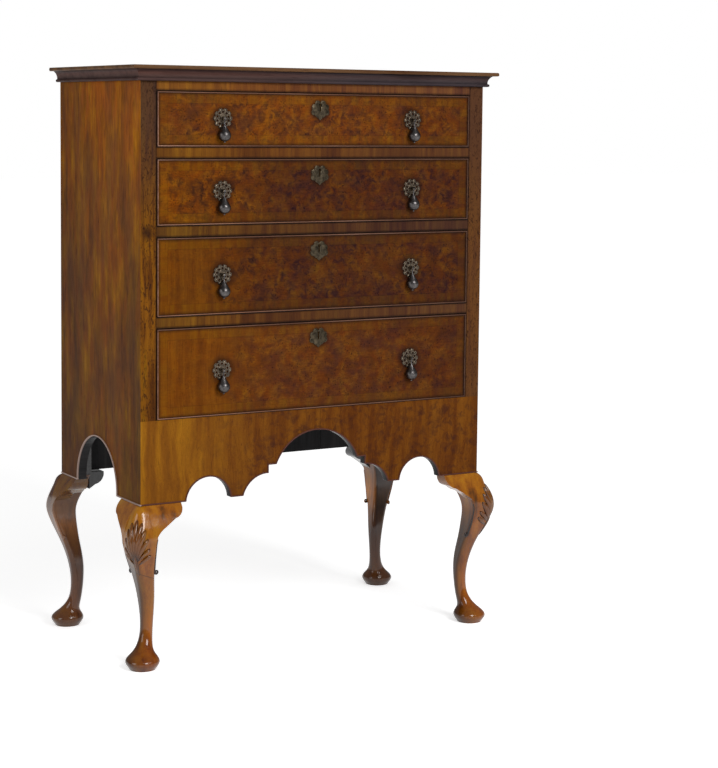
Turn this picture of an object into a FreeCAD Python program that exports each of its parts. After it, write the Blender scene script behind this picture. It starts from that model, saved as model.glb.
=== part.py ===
import FreeCAD, Part
import math
import os
import re
import Sketcher

# Walnut chest of four graduated drawers on cabriole legs, in millimetres.
# +Z is up, the drawers open towards -Y, and the origin is on the floor under the middle of the chest.

# Driving dimensions
SIZES = {
    # Case
    "case_width": 900, "case_depth": 460,
    "side_thickness": 22, "front_thickness": 20, "stile_width": 38.5,
    "top_thickness": 8.5, "top_overhang": 28, "top_round": 3,
    "back_thickness": 12, "back_rebate": 10, "back_gap": 1, "bottom_thickness": 12,
    # Drawer openings and the rails between them
    "first_height": 124, "second_height": 149, "third_height": 177, "fourth_height": 205,
    "rail_height": 25, "rail_depth": 80, "top_rail_height": 21,
    "runner_width": 30, "runner_height": 20, "guide_height": 16, "runner_back_gap": 8,
    "stop_width": 40, "stop_depth": 26, "stop_height": 5, "stop_spread": 520, "stop_gap": 0.3,
    # Cornice under the top
    "cornice_height": 25.5, "cornice_reach": 17, "cornice_neck": 8,
    "astragal_height": 7, "cornice_fillet": 2,
    # Shaped apron and arched sides, with the bead along their lower edges
    "apron_height": 186, "block_width": 109.5, "small_arch_width": 117.5, "small_arch_rise": 52,
    "pendant_width": 27, "scallop_width": 64.5, "scallop_rise": 47.5,
    "step_rise": 19, "step_width": 21.5, "centre_arch_rise": 72.5,
    "side_arch_width": 235, "side_arch_setback": 13, "side_arch_spring": 3,
    "bead_thickness": 3, "bead_reach": 2.5,
    # Drawer boxes
    "drawer_gap": 1, "drawer_lift": 0.3, "drawer_side": 12, "drawer_back": 10, "behind_drawer": 28,
    "side_drop": 8, "back_drop": 18, "drawer_floor": 6, "floor_height": 8, "floor_groove": 5,
    "cock_bead": 4, "cock_bead_depth": 10, "cock_bead_reach": 2.5,
    "tail_width": 22, "tail_flare": 3, "tail_length": 8,
    # Locks and their keyholes
    "lock_width": 64, "lock_height": 46, "lock_depth": 9, "lock_wall": 2, "lock_gap": 0.3,
    "bolt_width": 22, "bolt_thickness": 4.4, "bolt_length": 30, "bolt_throw": 8, "bolt_set_in": 1,
    "mortise_gap": 2, "keyhole_drop": 39.5, "keyhole_rise": 12.5, "keyhole_radius": 3.2,
    "keyhole_slot": 3.4, "keyhole_length": 15.5,
    # Pierced roses, pear drops and keyhole plates
    "handle_spread": 500, "handle_rise": 2, "rose_radius": 23, "rose_thickness": 2, "rose_lobes": 10,
    "pierce_radius": 2.6, "pierce_circle": 14.5, "scallop_radius": 3.4,
    "pin_reach": 10.5, "pin_radius": 1.5, "pin_gap": 0.05, "eye_radius": 4, "eye_width": 3.4,
    "cheek_gap": 0.4, "cheek_thickness": 2, "cheek_radius": 3.5, "boss_radius": 6.5, "boss_length": 3,
    "shank_radius": 2.4, "shank_gap": 0.1, "shank_tail": 2, "nut_radius": 6.5, "nut_length": 4,
    "neck_radius": 1.6, "neck_length": 13, "belly_radius": 14.5, "belly_drop": 37,
    "shoulder_rise": 8.3, "tip_radius": 2.2, "tip_length": 2, "drop_flat": 6.2,
    "plate_thickness": 1.5, "plate_radius": 18, "lobe_radius": 7, "lobe_circle": 17,
    "point_size": 17, "point_drop": 10.5,
    # Cabriole legs from the sole up: rise from the section below, width, set-in from the case corner,
    # and the rounding of the outer corner and of the other three
    "foot_set_in": 9.6, "sole_width": 58,
    "crease_rise": 5, "crease_width": 64,
    "edge_rise": 12, "edge_width": 76,
    "instep_rise": 19, "instep_width": 52, "instep_set_in": 13,
    "heel_rise": 22, "heel_width": 33, "heel_set_in": 21,
    "ankle_rise": 42, "ankle_width": 29, "ankle_set_in": 27.3,
    "shin_rise": 60, "shin_width": 34.5, "shin_set_in": 24.3, "shin_round": 14, "shin_arris": 11,
    "calf_rise": 50, "calf_width": 42, "calf_set_in": 13.6, "calf_round": 14.5, "calf_arris": 10,
    "bend_rise": 45, "bend_width": 53, "bend_set_in": 2.5, "bend_round": 13, "bend_arris": 8,
    "knee_rise": 35, "knee_width": 61, "knee_set_in": -2.5, "knee_round": 18, "knee_arris": 6.5,
    "thigh_rise": 32, "thigh_width": 66, "thigh_set_in": 4, "thigh_round": 25, "thigh_arris": 6,
    "brow_rise": 28, "brow_width": 66.5, "brow_set_in": 14.75, "brow_round": 21, "brow_arris": 6,
    "crown_rise": 22, "crown_width": 57, "crown_set_in": 26.5, "crown_round": 15, "crown_arris": 5,
    "post_width": 33,
    # Knee brackets beside the legs: outline going out from the case corner, and the swell of the face
    "joint_out": 11, "root_out": 20, "root_drop": 95, "curve_out": 44, "curve_drop": 50.5,
    "slope_out": 76, "slope_drop": 30, "ear_out": 98, "ear_round": 4,
    "ear_swell": 3.5, "bracket_swell": 33.4, "swell_drop": 78, "root_swell": 31,
    "bracket_depth": 28, "core_in": 8, "core_out": 60,
}
DRAWERS = ["first", "second", "third", "fourth"]
LEG_SECTIONS = ["sole", "crease", "edge", "instep", "heel", "ankle", "shin", "calf",
                "bend", "knee", "thigh", "brow", "crown"]
FOOT_SECTIONS = LEG_SECTIONS[:3]
TURNED_SECTIONS = LEG_SECTIONS[:6]
TURNED_RATIO = 0.47
BACK_PLANKS = 5
PLATE_LOBES = [-15, 25, 65, 115, 155, 195]

# Places worked out from the driving dimensions
PLACES = {"half_width": "case_width / 2", "half_depth": "case_depth / 2", "middle": "0"}
rise = "0"
for station in LEG_SECTIONS:
    rise = rise if station == "sole" else f"{rise} + {station}_rise"
    turned = f"{station}_width * {TURNED_RATIO}"
    PLACES[f"{station}_z"] = rise
    PLACES[f"{station}_half"] = f"{station}_width / 2"
    for flat, rounding in (("outer", "round"), ("inner", "arris")):
        taken = turned if station in TURNED_SECTIONS else f"{station}_{rounding}"
        PLACES[f"{station}_{flat}"] = f"{station}_width / 2 - {taken}"
PLACES.update({
    "case_bottom": "crown_z",
    "apron_bottom": "case_bottom + bead_thickness",
    "fourth_bottom": "apron_bottom + apron_height",
    "fourth_top": "fourth_bottom + fourth_height",
    "third_bottom": "fourth_top + rail_height",
    "third_top": "third_bottom + third_height",
    "second_bottom": "third_top + rail_height",
    "second_top": "second_bottom + second_height",
    "first_bottom": "second_top + rail_height",
    "first_top": "first_bottom + first_height",
    "case_top": "first_top + top_rail_height",
    "top_underside": "case_top + cornice_height",
    "bottom_upper": "fourth_bottom - runner_height",
    "bottom_lower": "bottom_upper - bottom_thickness",
    "opening_half": "half_width - stile_width",
    "inner_half": "half_width - side_thickness",
    "front_inner": "front_thickness - half_depth",
    "rail_inner": "rail_depth - half_depth",
    "back_inner": "half_depth - back_thickness",
    "top_half": "half_width + top_overhang",
    "top_front": "half_depth + top_overhang",
    # Apron outline, from the corner to the middle
    "small_arch_out": "half_width - block_width",
    "small_arch_in": "small_arch_out - small_arch_width",
    "scallop_out": "small_arch_in - pendant_width",
    "scallop_in": "scallop_out - scallop_width",
    "centre_arch_half": "scallop_in - step_width",
    "scallop_top": "apron_bottom + scallop_rise",
    "step_top": "scallop_top + step_rise",
    "small_arch_z": "apron_bottom + (small_arch_rise^2 - (small_arch_width / 2)^2) / (2 * small_arch_rise)",
    "scallop_z": "scallop_top - (scallop_width^2 + scallop_rise^2) / (2 * scallop_rise)",
    "centre_arch_z": "step_top + (centre_arch_rise^2 - centre_arch_half^2) / (2 * centre_arch_rise)",
    "side_arch_front": "side_arch_setback - side_arch_width / 2",
    "side_arch_back": "side_arch_setback + side_arch_width / 2",
    "side_spring": "apron_bottom + side_arch_spring",
    # Cornice, out from the case and up from its lower edge
    "cove_foot": "astragal_height + cornice_fillet",
    "astragal_middle": "astragal_height / 2",
    "astragal_reach": "cornice_neck + astragal_height / 2",
    "cornice_half": "half_width + cornice_reach",
    "cornice_front": "half_depth + cornice_reach",
    # Drawer boxes and locks
    "drawer_half": "opening_half - drawer_gap",
    "drawer_inner": "drawer_half - drawer_side",
    "drawer_end": "back_inner - behind_drawer",
    "field_half": "drawer_half - cock_bead",
    "bead_aside": "drawer_half - cock_bead / 2",
    "bead_front": "-half_depth - cock_bead_reach",
    "bead_nose": "bead_front + cock_bead / 2",
    "bead_root": "cock_bead_depth - half_depth",
    "tail_half": "tail_width / 2",
    "tail_tip": "tail_half + tail_flare",
    "lock_half": "lock_width / 2",
    "lock_front": "front_inner - lock_depth",
    "bolt_half": "bolt_width / 2",
    "bolt_front": "lock_front + bolt_set_in",
    "bolt_back": "bolt_front + bolt_thickness",
    # Pear drop, from its pin
    "shoulder_x": "sqrt(belly_radius^2 - shoulder_rise^2)",
    "shoulder_z": "shoulder_rise - belly_drop",
    "neck_z": "-neck_length",
    "belly_z": "-belly_drop",
    "tip_z": "-belly_drop - sqrt(belly_radius^2 - tip_radius^2)",
    "tip_end_z": "tip_z - tip_length",
    "eye_foot_z": "-(eye_radius + pin_radius) / 2",
    "hole_radius": "pin_radius + pin_gap",
    "cheek_inner": "eye_width / 2 + cheek_gap",
    "cheek_outer": "cheek_inner + cheek_thickness",
    "rose_face": "pin_reach - rose_thickness",
    "boss_face": "rose_face - boss_length",
    "shank_hole": "shank_radius + shank_gap",
    # Knee brackets
    "ear_centre_z": "case_bottom - ear_round",
    "slope_z": "case_bottom - slope_drop",
    "curve_z": "case_bottom - curve_drop",
    "root_z": "case_bottom - root_drop",
    "swell_z": "case_bottom - swell_drop",
})
for word in DRAWERS:
    PLACES[f"{word}_front_low"] = f"{word}_bottom + drawer_gap"
    PLACES[f"{word}_front_high"] = f"{word}_top - drawer_gap"
    PLACES[f"{word}_field_low"] = f"{word}_front_low + cock_bead"
    PLACES[f"{word}_field_high"] = f"{word}_front_high - cock_bead"
    PLACES[f"{word}_bead_low"] = f"{word}_front_low + cock_bead / 2"
    PLACES[f"{word}_bead_high"] = f"{word}_front_high - cock_bead / 2"
    PLACES[f"{word}_seat"] = f"{word}_bottom + drawer_lift"
    PLACES[f"{word}_floor_low"] = f"{word}_seat + floor_height"
    PLACES[f"{word}_floor_high"] = f"{word}_floor_low + drawer_floor"
    PLACES[f"{word}_handle"] = f"({word}_bottom + {word}_top) / 2 + handle_rise"
    PLACES[f"{word}_key"] = f"{word}_top - keyhole_drop"

doc = FreeCAD.newDocument("chest_of_drawers")
sheet = doc.addObject("Spreadsheet::Sheet", "Sizes")
for row, (alias, entry) in enumerate({**SIZES, **PLACES}.items(), start=1):
    sheet.set(f"A{row}", alias)
    sheet.set(f"B{row}", f"={entry}" if alias in PLACES else str(entry))
    sheet.setAlias(f"B{row}", alias)
doc.recompute()


# Expressions over the sheet
def cells(text):
    """Write an expression over cell names as FreeCAD reads it."""
    return re.sub(r"[a-z_]+", lambda found: f"Sizes.{found[0]}" if found[0] in NAMES else found[0], text)


def value(name):
    """The number in a named cell, negative where the name has a minus sign before it."""
    return -float(sheet.get(name[1:])) if name.startswith("-") else float(sheet.get(name))


def bind(item, **properties):
    """Tie properties to the sheet. A double underscore stands for the dot of a nested property."""
    for name, text in properties.items():
        item.setExpression(name.replace("__", "."), cells(text))
    return item


def move(item, x="0", y="0", z="0"):
    return bind(item, Placement__Base__x=x, Placement__Base__y=y, Placement__Base__z=z)


NAMES = set(SIZES) | set(PLACES)
AXES = {"x": (1, 0, 0), "y": (0, 1, 0), "z": (0, 0, 1)}


# Solids and booleans
def board(name, x, y, z):
    """A board between pairs of planes."""
    item = doc.addObject("Part::Box", name)
    bind(item, Length=f"({x[1]}) - ({x[0]})", Width=f"({y[1]}) - ({y[0]})", Height=f"({z[1]}) - ({z[0]})")
    return move(item, x[0], y[0], z[0])


def rod(name, axis, radius, length, x="0", y="0", z="0", sides=None):
    """A cylinder, or a prism with a number of sides, that runs along an axis from a point."""
    item = doc.addObject("Part::Prism" if sides else "Part::Cylinder", name)
    item.Placement.Rotation = FreeCAD.Rotation(FreeCAD.Vector(0, 0, 1), FreeCAD.Vector(*AXES[axis]))
    if sides:
        item.Polygon = sides
        bind(item, Circumradius=radius, Height=length)
    else:
        bind(item, Radius=radius, Height=length)
    return move(item, x, y, z)


def cut(name, base, *tools):
    item = doc.addObject("Part::Cut", name)
    item.Base = base
    item.Tool = tools[0] if len(tools) == 1 else fuse(f"{name}_tools", *tools)
    return item


def fuse(name, *pieces):
    item = doc.addObject("Part::MultiFuse", name)
    item.Shapes = list(pieces)
    item.Refine = True
    return item


def common(name, *pieces):
    item = doc.addObject("Part::MultiCommon", name)
    item.Shapes = list(pieces)
    return item


def group(name, *pieces):
    item = doc.addObject("Part::Compound", name)
    item.Links = list(pieces)
    return item


def mirror(name, source, normal):
    item = doc.addObject("Part::Mirroring", name)
    item.Source = source
    item.Normal = FreeCAD.Vector(*normal)
    return item


# Sketches
def arc_centre(start, end, centre_y):
    """Centre of the arc between two points, where the centre's height is known."""
    chord_x = end[0] - start[0]
    chord_y = end[1] - start[1]
    middle_x = (start[0] + end[0]) / 2
    middle_y = (start[1] + end[1]) / 2
    return FreeCAD.Vector(middle_x - chord_y * (centre_y - middle_y) / chord_x, centre_y, 0)


def draw(sketch, chain):
    """Close a chain of points named by cells. A point may end with the cell of an arc centre's height
    and the arc's turn to the next point, +1 anticlockwise or -1 clockwise."""
    points = [(value(stop[0]), value(stop[1])) for stop in chain]
    ends = []
    for number, stop in enumerate(chain):
        start = points[number]
        end = points[(number + 1) % len(points)]
        if len(stop) == 2:
            sketch.addGeometry(Part.LineSegment(FreeCAD.Vector(*start, 0), FreeCAD.Vector(*end, 0)))
            ends.append((1, 2))
            continue
        centre = arc_centre(start, end, value(stop[2]))
        first, last = (start, end) if stop[3] > 0 else (end, start)
        angles = [math.atan2(y - centre.y, x - centre.x) for x, y in (first, last)]
        circle = Part.Circle(centre, FreeCAD.Vector(0, 0, 1), math.dist(start, (centre.x, centre.y)))
        sketch.addGeometry(Part.ArcOfCircle(circle, *angles))
        ends.append((1, 2) if stop[3] > 0 else (2, 1))
    for number, stop in enumerate(chain):
        after = (number + 1) % len(chain)
        meeting = (number, ends[number][1], after, ends[after][0])
        sketch.addConstraint(Sketcher.Constraint("Coincident", *meeting))
        pins = [("DistanceX", ends[number][0], stop[0]), ("DistanceY", ends[number][0], stop[1])]
        if len(stop) > 2:
            pins.append(("DistanceY", 3, stop[2]))
        for kind, place, name in pins:
            pin = sketch.addConstraint(Sketcher.Constraint(kind, number, place, value(name)))
            sketch.setExpression(f"Constraints[{pin}]", cells(name))
    return sketch


def ring(sketch, radius, x="middle", y="middle"):
    """A circle about a point named by cells."""
    centre = FreeCAD.Vector(value(x), value(y), 0)
    sketch.addGeometry(Part.Circle(centre, FreeCAD.Vector(0, 0, 1), value(radius)))
    for kind, name in (("DistanceX", x), ("DistanceY", y)):
        pin = sketch.addConstraint(Sketcher.Constraint(kind, 0, 3, value(name)))
        sketch.setExpression(f"Constraints[{pin}]", cells(name))
    size = sketch.addConstraint(Sketcher.Constraint("Radius", 0, value(radius)))
    sketch.setExpression(f"Constraints[{size}]", cells(radius))
    return sketch


# Directions of a free sketch's own axes
FACINGS = {"plan": ((1, 0, 0), (0, 1, 0)), "front": ((1, 0, 0), (0, 0, 1)), "across": ((0, 1, 0), (0, 0, 1)),
           "out_front": ((0, -1, 0), (0, 0, 1)), "out_left": ((-1, 0, 0), (0, 0, 1))}


def profile(name, facing, chain, x="0", y="0", z="0"):
    """A free sketch whose place is tied to the sheet."""
    sketch = doc.addObject("Sketcher::SketchObject", name)
    right, up = (FreeCAD.Vector(*axis) for axis in FACINGS[facing])
    sketch.Placement.Rotation = FreeCAD.Rotation(right, up, right.cross(up), "XYZ")
    return draw(move(sketch, x, y, z), chain)


def extrude(name, sketch, ahead, behind="0"):
    """A prism of an outline, by a length along its normal and a length the other way."""
    item = doc.addObject("Part::Extrusion", name)
    item.Base = sketch
    item.DirMode = "Normal"
    item.Solid = True
    return bind(item, LengthFwd=ahead, LengthRev=behind)


def widen(name, sketch, distance):
    """An outline moved outwards, with its corners kept sharp."""
    item = doc.addObject("Part::Offset2D", name)
    item.Source = sketch
    item.Join = "Intersection"
    return bind(item, Value=distance)


def loft(name, sections):
    item = doc.addObject("Part::Loft", name)
    item.Sections = sections
    item.Solid = True
    return item


def body_sketch(body, name, plane, offset="0"):
    """A sketch on one of a body's own planes, moved along the plane's normal."""
    sketch = body.newObject("Sketcher::SketchObject", name)
    support = [feature for feature in body.Origin.OriginFeatures if feature.Role == f"{plane}_Plane"][0]
    sketch.AttachmentSupport = (support, [""])
    sketch.MapMode = "FlatFace"
    return bind(sketch, AttachmentOffset__Base__z=offset)


def pad(body, sketch, length, midplane=False):
    feature = body.newObject("PartDesign::Pad", f"{sketch.Name}_pad")
    feature.Profile = sketch
    feature.Midplane = midplane
    return bind(feature, Length=length)


def pierce(body, sketch):
    """A pocket through the whole body, both ways from the sketch."""
    feature = body.newObject("PartDesign::Pocket", f"{sketch.Name}_pocket")
    feature.Profile = sketch
    feature.Type = "ThroughAll"
    feature.Midplane = True
    return feature


def around(body, feature, count):
    """Repeat a feature evenly about the body's own Y axis."""
    pattern = body.newObject("PartDesign::PolarPattern", f"{feature.Name}_around")
    pattern.Originals = [feature]
    pattern.Axis = ([line for line in body.Origin.OriginFeatures if line.Role == "Y_Axis"][0], [""])
    body.Tip = pattern
    return bind(pattern, Occurrences=count)


def padded(name, plane, offset, chain, length):
    """A body of one padded outline."""
    body = doc.addObject("PartDesign::Body", name)
    pad(body, draw(body_sketch(body, f"{name}_outline", plane, offset), chain), length)
    return body


def edges_where(shape, test):
    return [f"Edge{number}" for number, edge in enumerate(shape.Edges, start=1) if test(edge)]


nodes = []


def node(item, label):
    """Name a finished sub-part."""
    item.Label = label
    nodes.append(item)
    return item


# Top board with rounded front and side edges, flush at the back
top = padded("top", "XY", "top_underside", [
    ("-top_half", "-top_front"), ("top_half", "-top_front"),
    ("top_half", "half_depth"), ("-top_half", "half_depth")], "top_thickness")
doc.recompute()
slab = top.Tip
back_line = value("half_depth")
rounded = top.newObject("PartDesign::Fillet", "top_edges")
rounded.Base = (slab, edges_where(
    slab.Shape, lambda edge: edge.BoundBox.ZLength < 1 and edge.BoundBox.YMin < back_line - 1))
bind(rounded, Radius="min(top_round; top_thickness * 0.45)")
node(top, "top_board")

# Cornice: a cove over an astragal, in three mitred lengths
CORNICE = [("middle", "middle"), ("cornice_neck", "middle", "astragal_middle", 1),
           ("astragal_reach", "astragal_middle", "astragal_middle", 1), ("cornice_neck", "astragal_height"),
           ("cornice_neck", "cove_foot", "cove_foot", -1), ("cornice_reach", "cornice_height"),
           ("middle", "cornice_height")]
front_run = extrude("cornice_front_run", profile(
    "cornice_front_profile", "out_front", CORNICE, "cornice_half", "-half_depth", "case_top"),
    "2 * cornice_half")
front_plan = padded("cornice_front_plan", "XY", "case_top", [
    ("-cornice_half", "-cornice_front"), ("cornice_half", "-cornice_front"),
    ("half_width", "-half_depth"), ("-half_width", "-half_depth")], "cornice_height")
left_run = extrude("cornice_left_run", profile(
    "cornice_left_profile", "out_left", CORNICE, "-half_width", "-cornice_front", "case_top"),
    "cornice_front + half_depth")
left_plan = padded("cornice_left_plan", "XY", "case_top", [
    ("-cornice_half", "-cornice_front"), ("-half_width", "-half_depth"),
    ("-half_width", "half_depth"), ("-cornice_half", "half_depth")], "cornice_height")
cornice_left = common("cornice_left", left_run, left_plan)
node(group("cornice", common("cornice_ahead", front_run, front_plan), cornice_left,
           mirror("cornice_right", cornice_left, (1, 0, 0))), "cornice_moulding")

# Sides with one arch at the foot and a rebate for the back boards
side_outline = profile("side_outline", "across", [
    ("front_inner", "apron_bottom"), ("side_arch_front", "apron_bottom"),
    ("side_arch_front", "side_spring", "side_spring", -1), ("side_arch_back", "side_spring"),
    ("side_arch_back", "apron_bottom"), ("half_depth", "apron_bottom"),
    ("half_depth", "top_underside"), ("front_inner", "top_underside")], x="-half_width")
side = extrude("side_panel", side_outline, "side_thickness")
side_rebate = board("side_rebate", ("-inner_half - back_rebate", "-inner_half"), ("back_inner", "half_depth"),
                    ("apron_bottom", "top_underside"))
side_left = node(cut("side_cut", side, side_rebate), "side_left")
node(mirror("side_mirror", side_left, (1, 0, 0)), "side_right")

# Back of upright planks in the rebates
plank = f"(2 * (inner_half + back_rebate) + back_gap) / {BACK_PLANKS}"
planks = [board(f"plank_{number}",
                (f"{number} * ({plank}) - inner_half - back_rebate",
                 f"{number + 1} * ({plank}) - back_gap - inner_half - back_rebate"),
                ("back_inner", "half_depth"), ("apron_bottom", "top_underside"))
          for number in range(BACK_PLANKS)]
node(group("planks", *planks), "back_boards")

# Stiles at the front corners
stile = board("stile_left", ("-half_width", "-opening_half"), ("-half_depth", "front_inner"),
              ("fourth_bottom", "top_underside"))
node(group("stiles", stile, mirror("stile_right", stile, (1, 0, 0))), "front_stiles")

# Rails over each drawer, notched round the stiles and mortised for the lock bolts, and one under the last
RAIL = [("-opening_half", "-half_depth"), ("opening_half", "-half_depth"), ("opening_half", "front_inner"),
        ("inner_half", "front_inner"), ("inner_half", "rail_inner"), ("-inner_half", "rail_inner"),
        ("-inner_half", "front_inner"), ("-opening_half", "front_inner")]
rails = []
for word in DRAWERS:
    rail = padded(f"{word}_rail", "XY", f"{word}_top", RAIL,
                  "top_underside - first_top" if word == "first" else "rail_height")
    mortise = board(f"{word}_mortise", ("-bolt_half - mortise_gap", "bolt_half + mortise_gap"),
                    ("bolt_front - mortise_gap", "bolt_back + mortise_gap"),
                    (f"{word}_top", f"{word}_top + bolt_throw + mortise_gap"))
    rails.append(cut(f"{word}_mortised_rail", rail, mortise))
rails.append(board("bottom_rail", ("-inner_half", "inner_half"), ("front_inner", "rail_inner"),
                   ("bottom_upper", "fourth_bottom")))
node(group("rails", *rails), "drawer_rails")

# Bottom board under the last drawer's runners
node(board("bottom", ("-inner_half", "inner_half"), ("front_inner", "back_inner"),
           ("bottom_lower", "bottom_upper")), "bottom_board")

# Runners and guides under each drawer, kickers over the first, and stops on the rails
strips = []
run_end = "back_inner - runner_back_gap"
for word in DRAWERS:
    strips.append(board(f"{word}_runner", ("-inner_half", "runner_width - inner_half"),
                        ("rail_inner", run_end), (f"{word}_bottom - runner_height", f"{word}_bottom")))
    strips.append(board(f"{word}_guide", ("-inner_half", "-opening_half"), ("front_inner", run_end),
                        (f"{word}_bottom", f"{word}_bottom + guide_height")))
    strips.append(board(f"{word}_stop", ("-stop_spread / 2", "stop_width - stop_spread / 2"),
                        ("front_inner + stop_gap", "front_inner + stop_gap + stop_depth"),
                        (f"{word}_bottom", f"{word}_bottom + stop_height")))
strips.append(board("kicker", ("-inner_half", "runner_width - inner_half"), ("rail_inner", run_end),
                    ("first_top", "first_top + runner_height")))
left_strips = group("left_strips", *strips)
node(group("strips", left_strips, mirror("right_strips", left_strips, (1, 0, 0))), "drawer_runners")

# Front apron, sawn to arches, scallops and pendants
apron_outline = profile("apron_outline", "front", [
    ("-half_width", "apron_bottom"), ("-small_arch_out", "apron_bottom", "small_arch_z", -1),
    ("-small_arch_in", "apron_bottom"), ("-scallop_out", "apron_bottom", "scallop_z", -1),
    ("-scallop_in", "scallop_top"), ("-scallop_in", "step_top"),
    ("-centre_arch_half", "step_top", "centre_arch_z", -1), ("centre_arch_half", "step_top"),
    ("scallop_in", "step_top"), ("scallop_in", "scallop_top", "scallop_z", -1),
    ("scallop_out", "apron_bottom"), ("small_arch_in", "apron_bottom", "small_arch_z", -1),
    ("small_arch_out", "apron_bottom"), ("half_width", "apron_bottom"),
    ("half_width", "fourth_bottom"), ("-half_width", "fourth_bottom")], y="-half_depth")
node(extrude("apron", apron_outline, "0", "front_thickness"), "front_apron")

# Beads bent round the lower edges of the apron and the sides, standing a little proud
front_edge = widen("front_edge", apron_outline, "bead_thickness")
front_band = cut("front_band", extrude("front_bead_prism", front_edge, "bead_reach", "front_thickness"),
                 extrude("front_bead_hollow", apron_outline, "bead_reach", "front_thickness"))
front_span = ("-half_depth - bead_reach", "front_inner")
front_trim = fuse("front_trim",
                  board("front_trim_foot", ("-half_width - bead_reach", "half_width + bead_reach"),
                        front_span, ("case_bottom", "apron_bottom")),
                  board("front_trim_arches", ("-small_arch_out", "small_arch_out"),
                        front_span, ("case_bottom", "fourth_bottom")))
side_edge = widen("side_edge", side_outline, "bead_thickness")
side_band = cut("side_band", extrude("side_bead_prism", side_edge, "side_thickness", "bead_reach"),
                extrude("side_bead_hollow", side_outline, "side_thickness", "bead_reach"))
side_trim = board("side_trim", ("-half_width - bead_reach", "-inner_half"), ("front_inner", "half_depth"),
                  ("case_bottom", "top_underside"))
side_bead = common("side_bead", side_band, side_trim)
node(group("beads", common("front_bead", front_band, front_trim), side_bead,
           mirror("side_bead_mirror", side_bead, (1, 0, 0))), "edge_beads")


# Front left leg: rounded sections from the sole to the crown, softest at the outer corner
def leg_section(station):
    set_in = "foot_set_in" if station in FOOT_SECTIONS else f"{station}_set_in"
    half = f"{station}_half"
    outer = f"{station}_outer"
    inner = f"{station}_inner"
    return profile(f"leg_{station}", "plan", [
        (f"-{outer}", f"-{half}"), (inner, f"-{half}", f"-{inner}", 1),
        (half, f"-{inner}"), (half, inner, inner, 1),
        (inner, half), (f"-{inner}", half, inner, 1),
        (f"-{half}", inner), (f"-{half}", f"-{outer}", f"-{outer}", 1)],
        f"{set_in} - half_width", f"{set_in} - half_depth", f"{station}_z")


cabriole = loft("cabriole", [leg_section(station) for station in LEG_SECTIONS])
post = board("leg_post", ("-inner_half", "post_width - inner_half"),
             ("front_inner", "front_inner + post_width"), ("crown_z", "bottom_lower"))


def beside(name, source):
    """The same piece on the case's side, turned over the corner's diagonal."""
    return bind(mirror(name, source, (1, -1, 0)), Base__x="-half_width", Base__y="-half_depth")


# Knee brackets, two at each corner: sawn to an outline, let into the leg, and carrying on the knee's swell
sawn = extrude("bracket_sawn", profile("bracket_outline", "front", [
    ("joint_out", "case_bottom"), ("root_out", "root_z", "root_z", -1), ("curve_out", "curve_z"),
    ("slope_out", "slope_z", "ear_centre_z", 1), ("ear_out", "case_bottom")], "-half_width", "-half_depth"),
    "2 * bracket_swell", "bracket_depth")
core = board("leg_core", ("core_in - half_width", "core_out - half_width"),
             ("core_in - half_depth", "core_out - half_depth"), ("root_z", "case_bottom"))
socket = cut("bracket_socket", sawn, core)
swept = extrude("bracket_swept", profile("bracket_face", "out_front", [
    ("-bracket_depth", "root_z"), ("root_swell", "root_z", "swell_z", 1),
    ("bracket_swell", "swell_z", "swell_z", 1), ("ear_swell", "case_bottom"),
    ("-bracket_depth", "case_bottom")], "-half_width", "-half_depth"), "0", "ear_out")
bracket = common("bracket", socket, swept)
corner = group("corner_brackets", bracket, beside("bracket_beside", bracket))
front_corners = group("front_corners", corner, mirror("corner_right", corner, (1, 0, 0)))
node(group("brackets", front_corners, mirror("back_corners", front_corners, (0, 1, 0))), "knee_brackets")

# Legs, each with a post inside the case
leg = node(cut("leg", fuse("leg_blank", cabriole, post), socket, beside("socket_beside", socket)),
           "leg_front_left")
leg_right = node(mirror("leg_right", leg, (1, 0, 0)), "leg_front_right")
node(mirror("leg_back", leg, (0, 1, 0)), "leg_back_left")
node(mirror("leg_back_right", leg_right, (0, 1, 0)), "leg_back_right")

# Pierced rose for a handle, with its scalloped rim towards the viewer and the pin's axis at the origin
rose = doc.addObject("PartDesign::Body", "rose")
pad(rose, ring(body_sketch(rose, "rose_disc", "XZ", "-pin_reach"), "rose_radius"), "rose_thickness")
pierce(rose, ring(body_sketch(rose, "rose_eye", "XZ", "-pin_reach"), "shank_hole"))
for name, radius, circle in (("rose_pierced", "pierce_radius", "pierce_circle"),
                             ("rose_scallop", "scallop_radius", "rose_radius")):
    hole = pierce(rose, ring(body_sketch(rose, name, "XZ", "-pin_reach"), radius, y=circle))
    around(rose, hole, "rose_lobes")

# Fork that holds a drop: cheeks on a boss, the shank through the drawer front, and the pin
cheek = board("cheek", ("cheek_inner", "cheek_outer"), ("0", "boss_face"), ("-cheek_radius", "cheek_radius"))
cheek_end = rod("cheek_end", "x", "cheek_radius", "cheek_thickness", "cheek_inner")
cheek_right = fuse("cheek_right", cheek, cheek_end)
fork = fuse("fork", cheek_right, mirror("cheek_left", cheek_right, (1, 0, 0)),
            rod("boss", "y", "boss_radius", "boss_length", y="boss_face"),
            rod("shank", "y", "shank_radius", "rose_thickness + front_thickness + nut_length + shank_tail",
                y="rose_face"),
            rod("pin", "x", "pin_radius", "2 * cheek_outer", "-cheek_outer"))
nut = cut("nut", rod("nut_blank", "y", "nut_radius", "nut_length", y="pin_reach + front_thickness", sides=6),
          rod("nut_hole", "y", "shank_hole", "nut_length", y="pin_reach + front_thickness"))
mount = group("handle_mount", rose, fork, nut)

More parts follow.
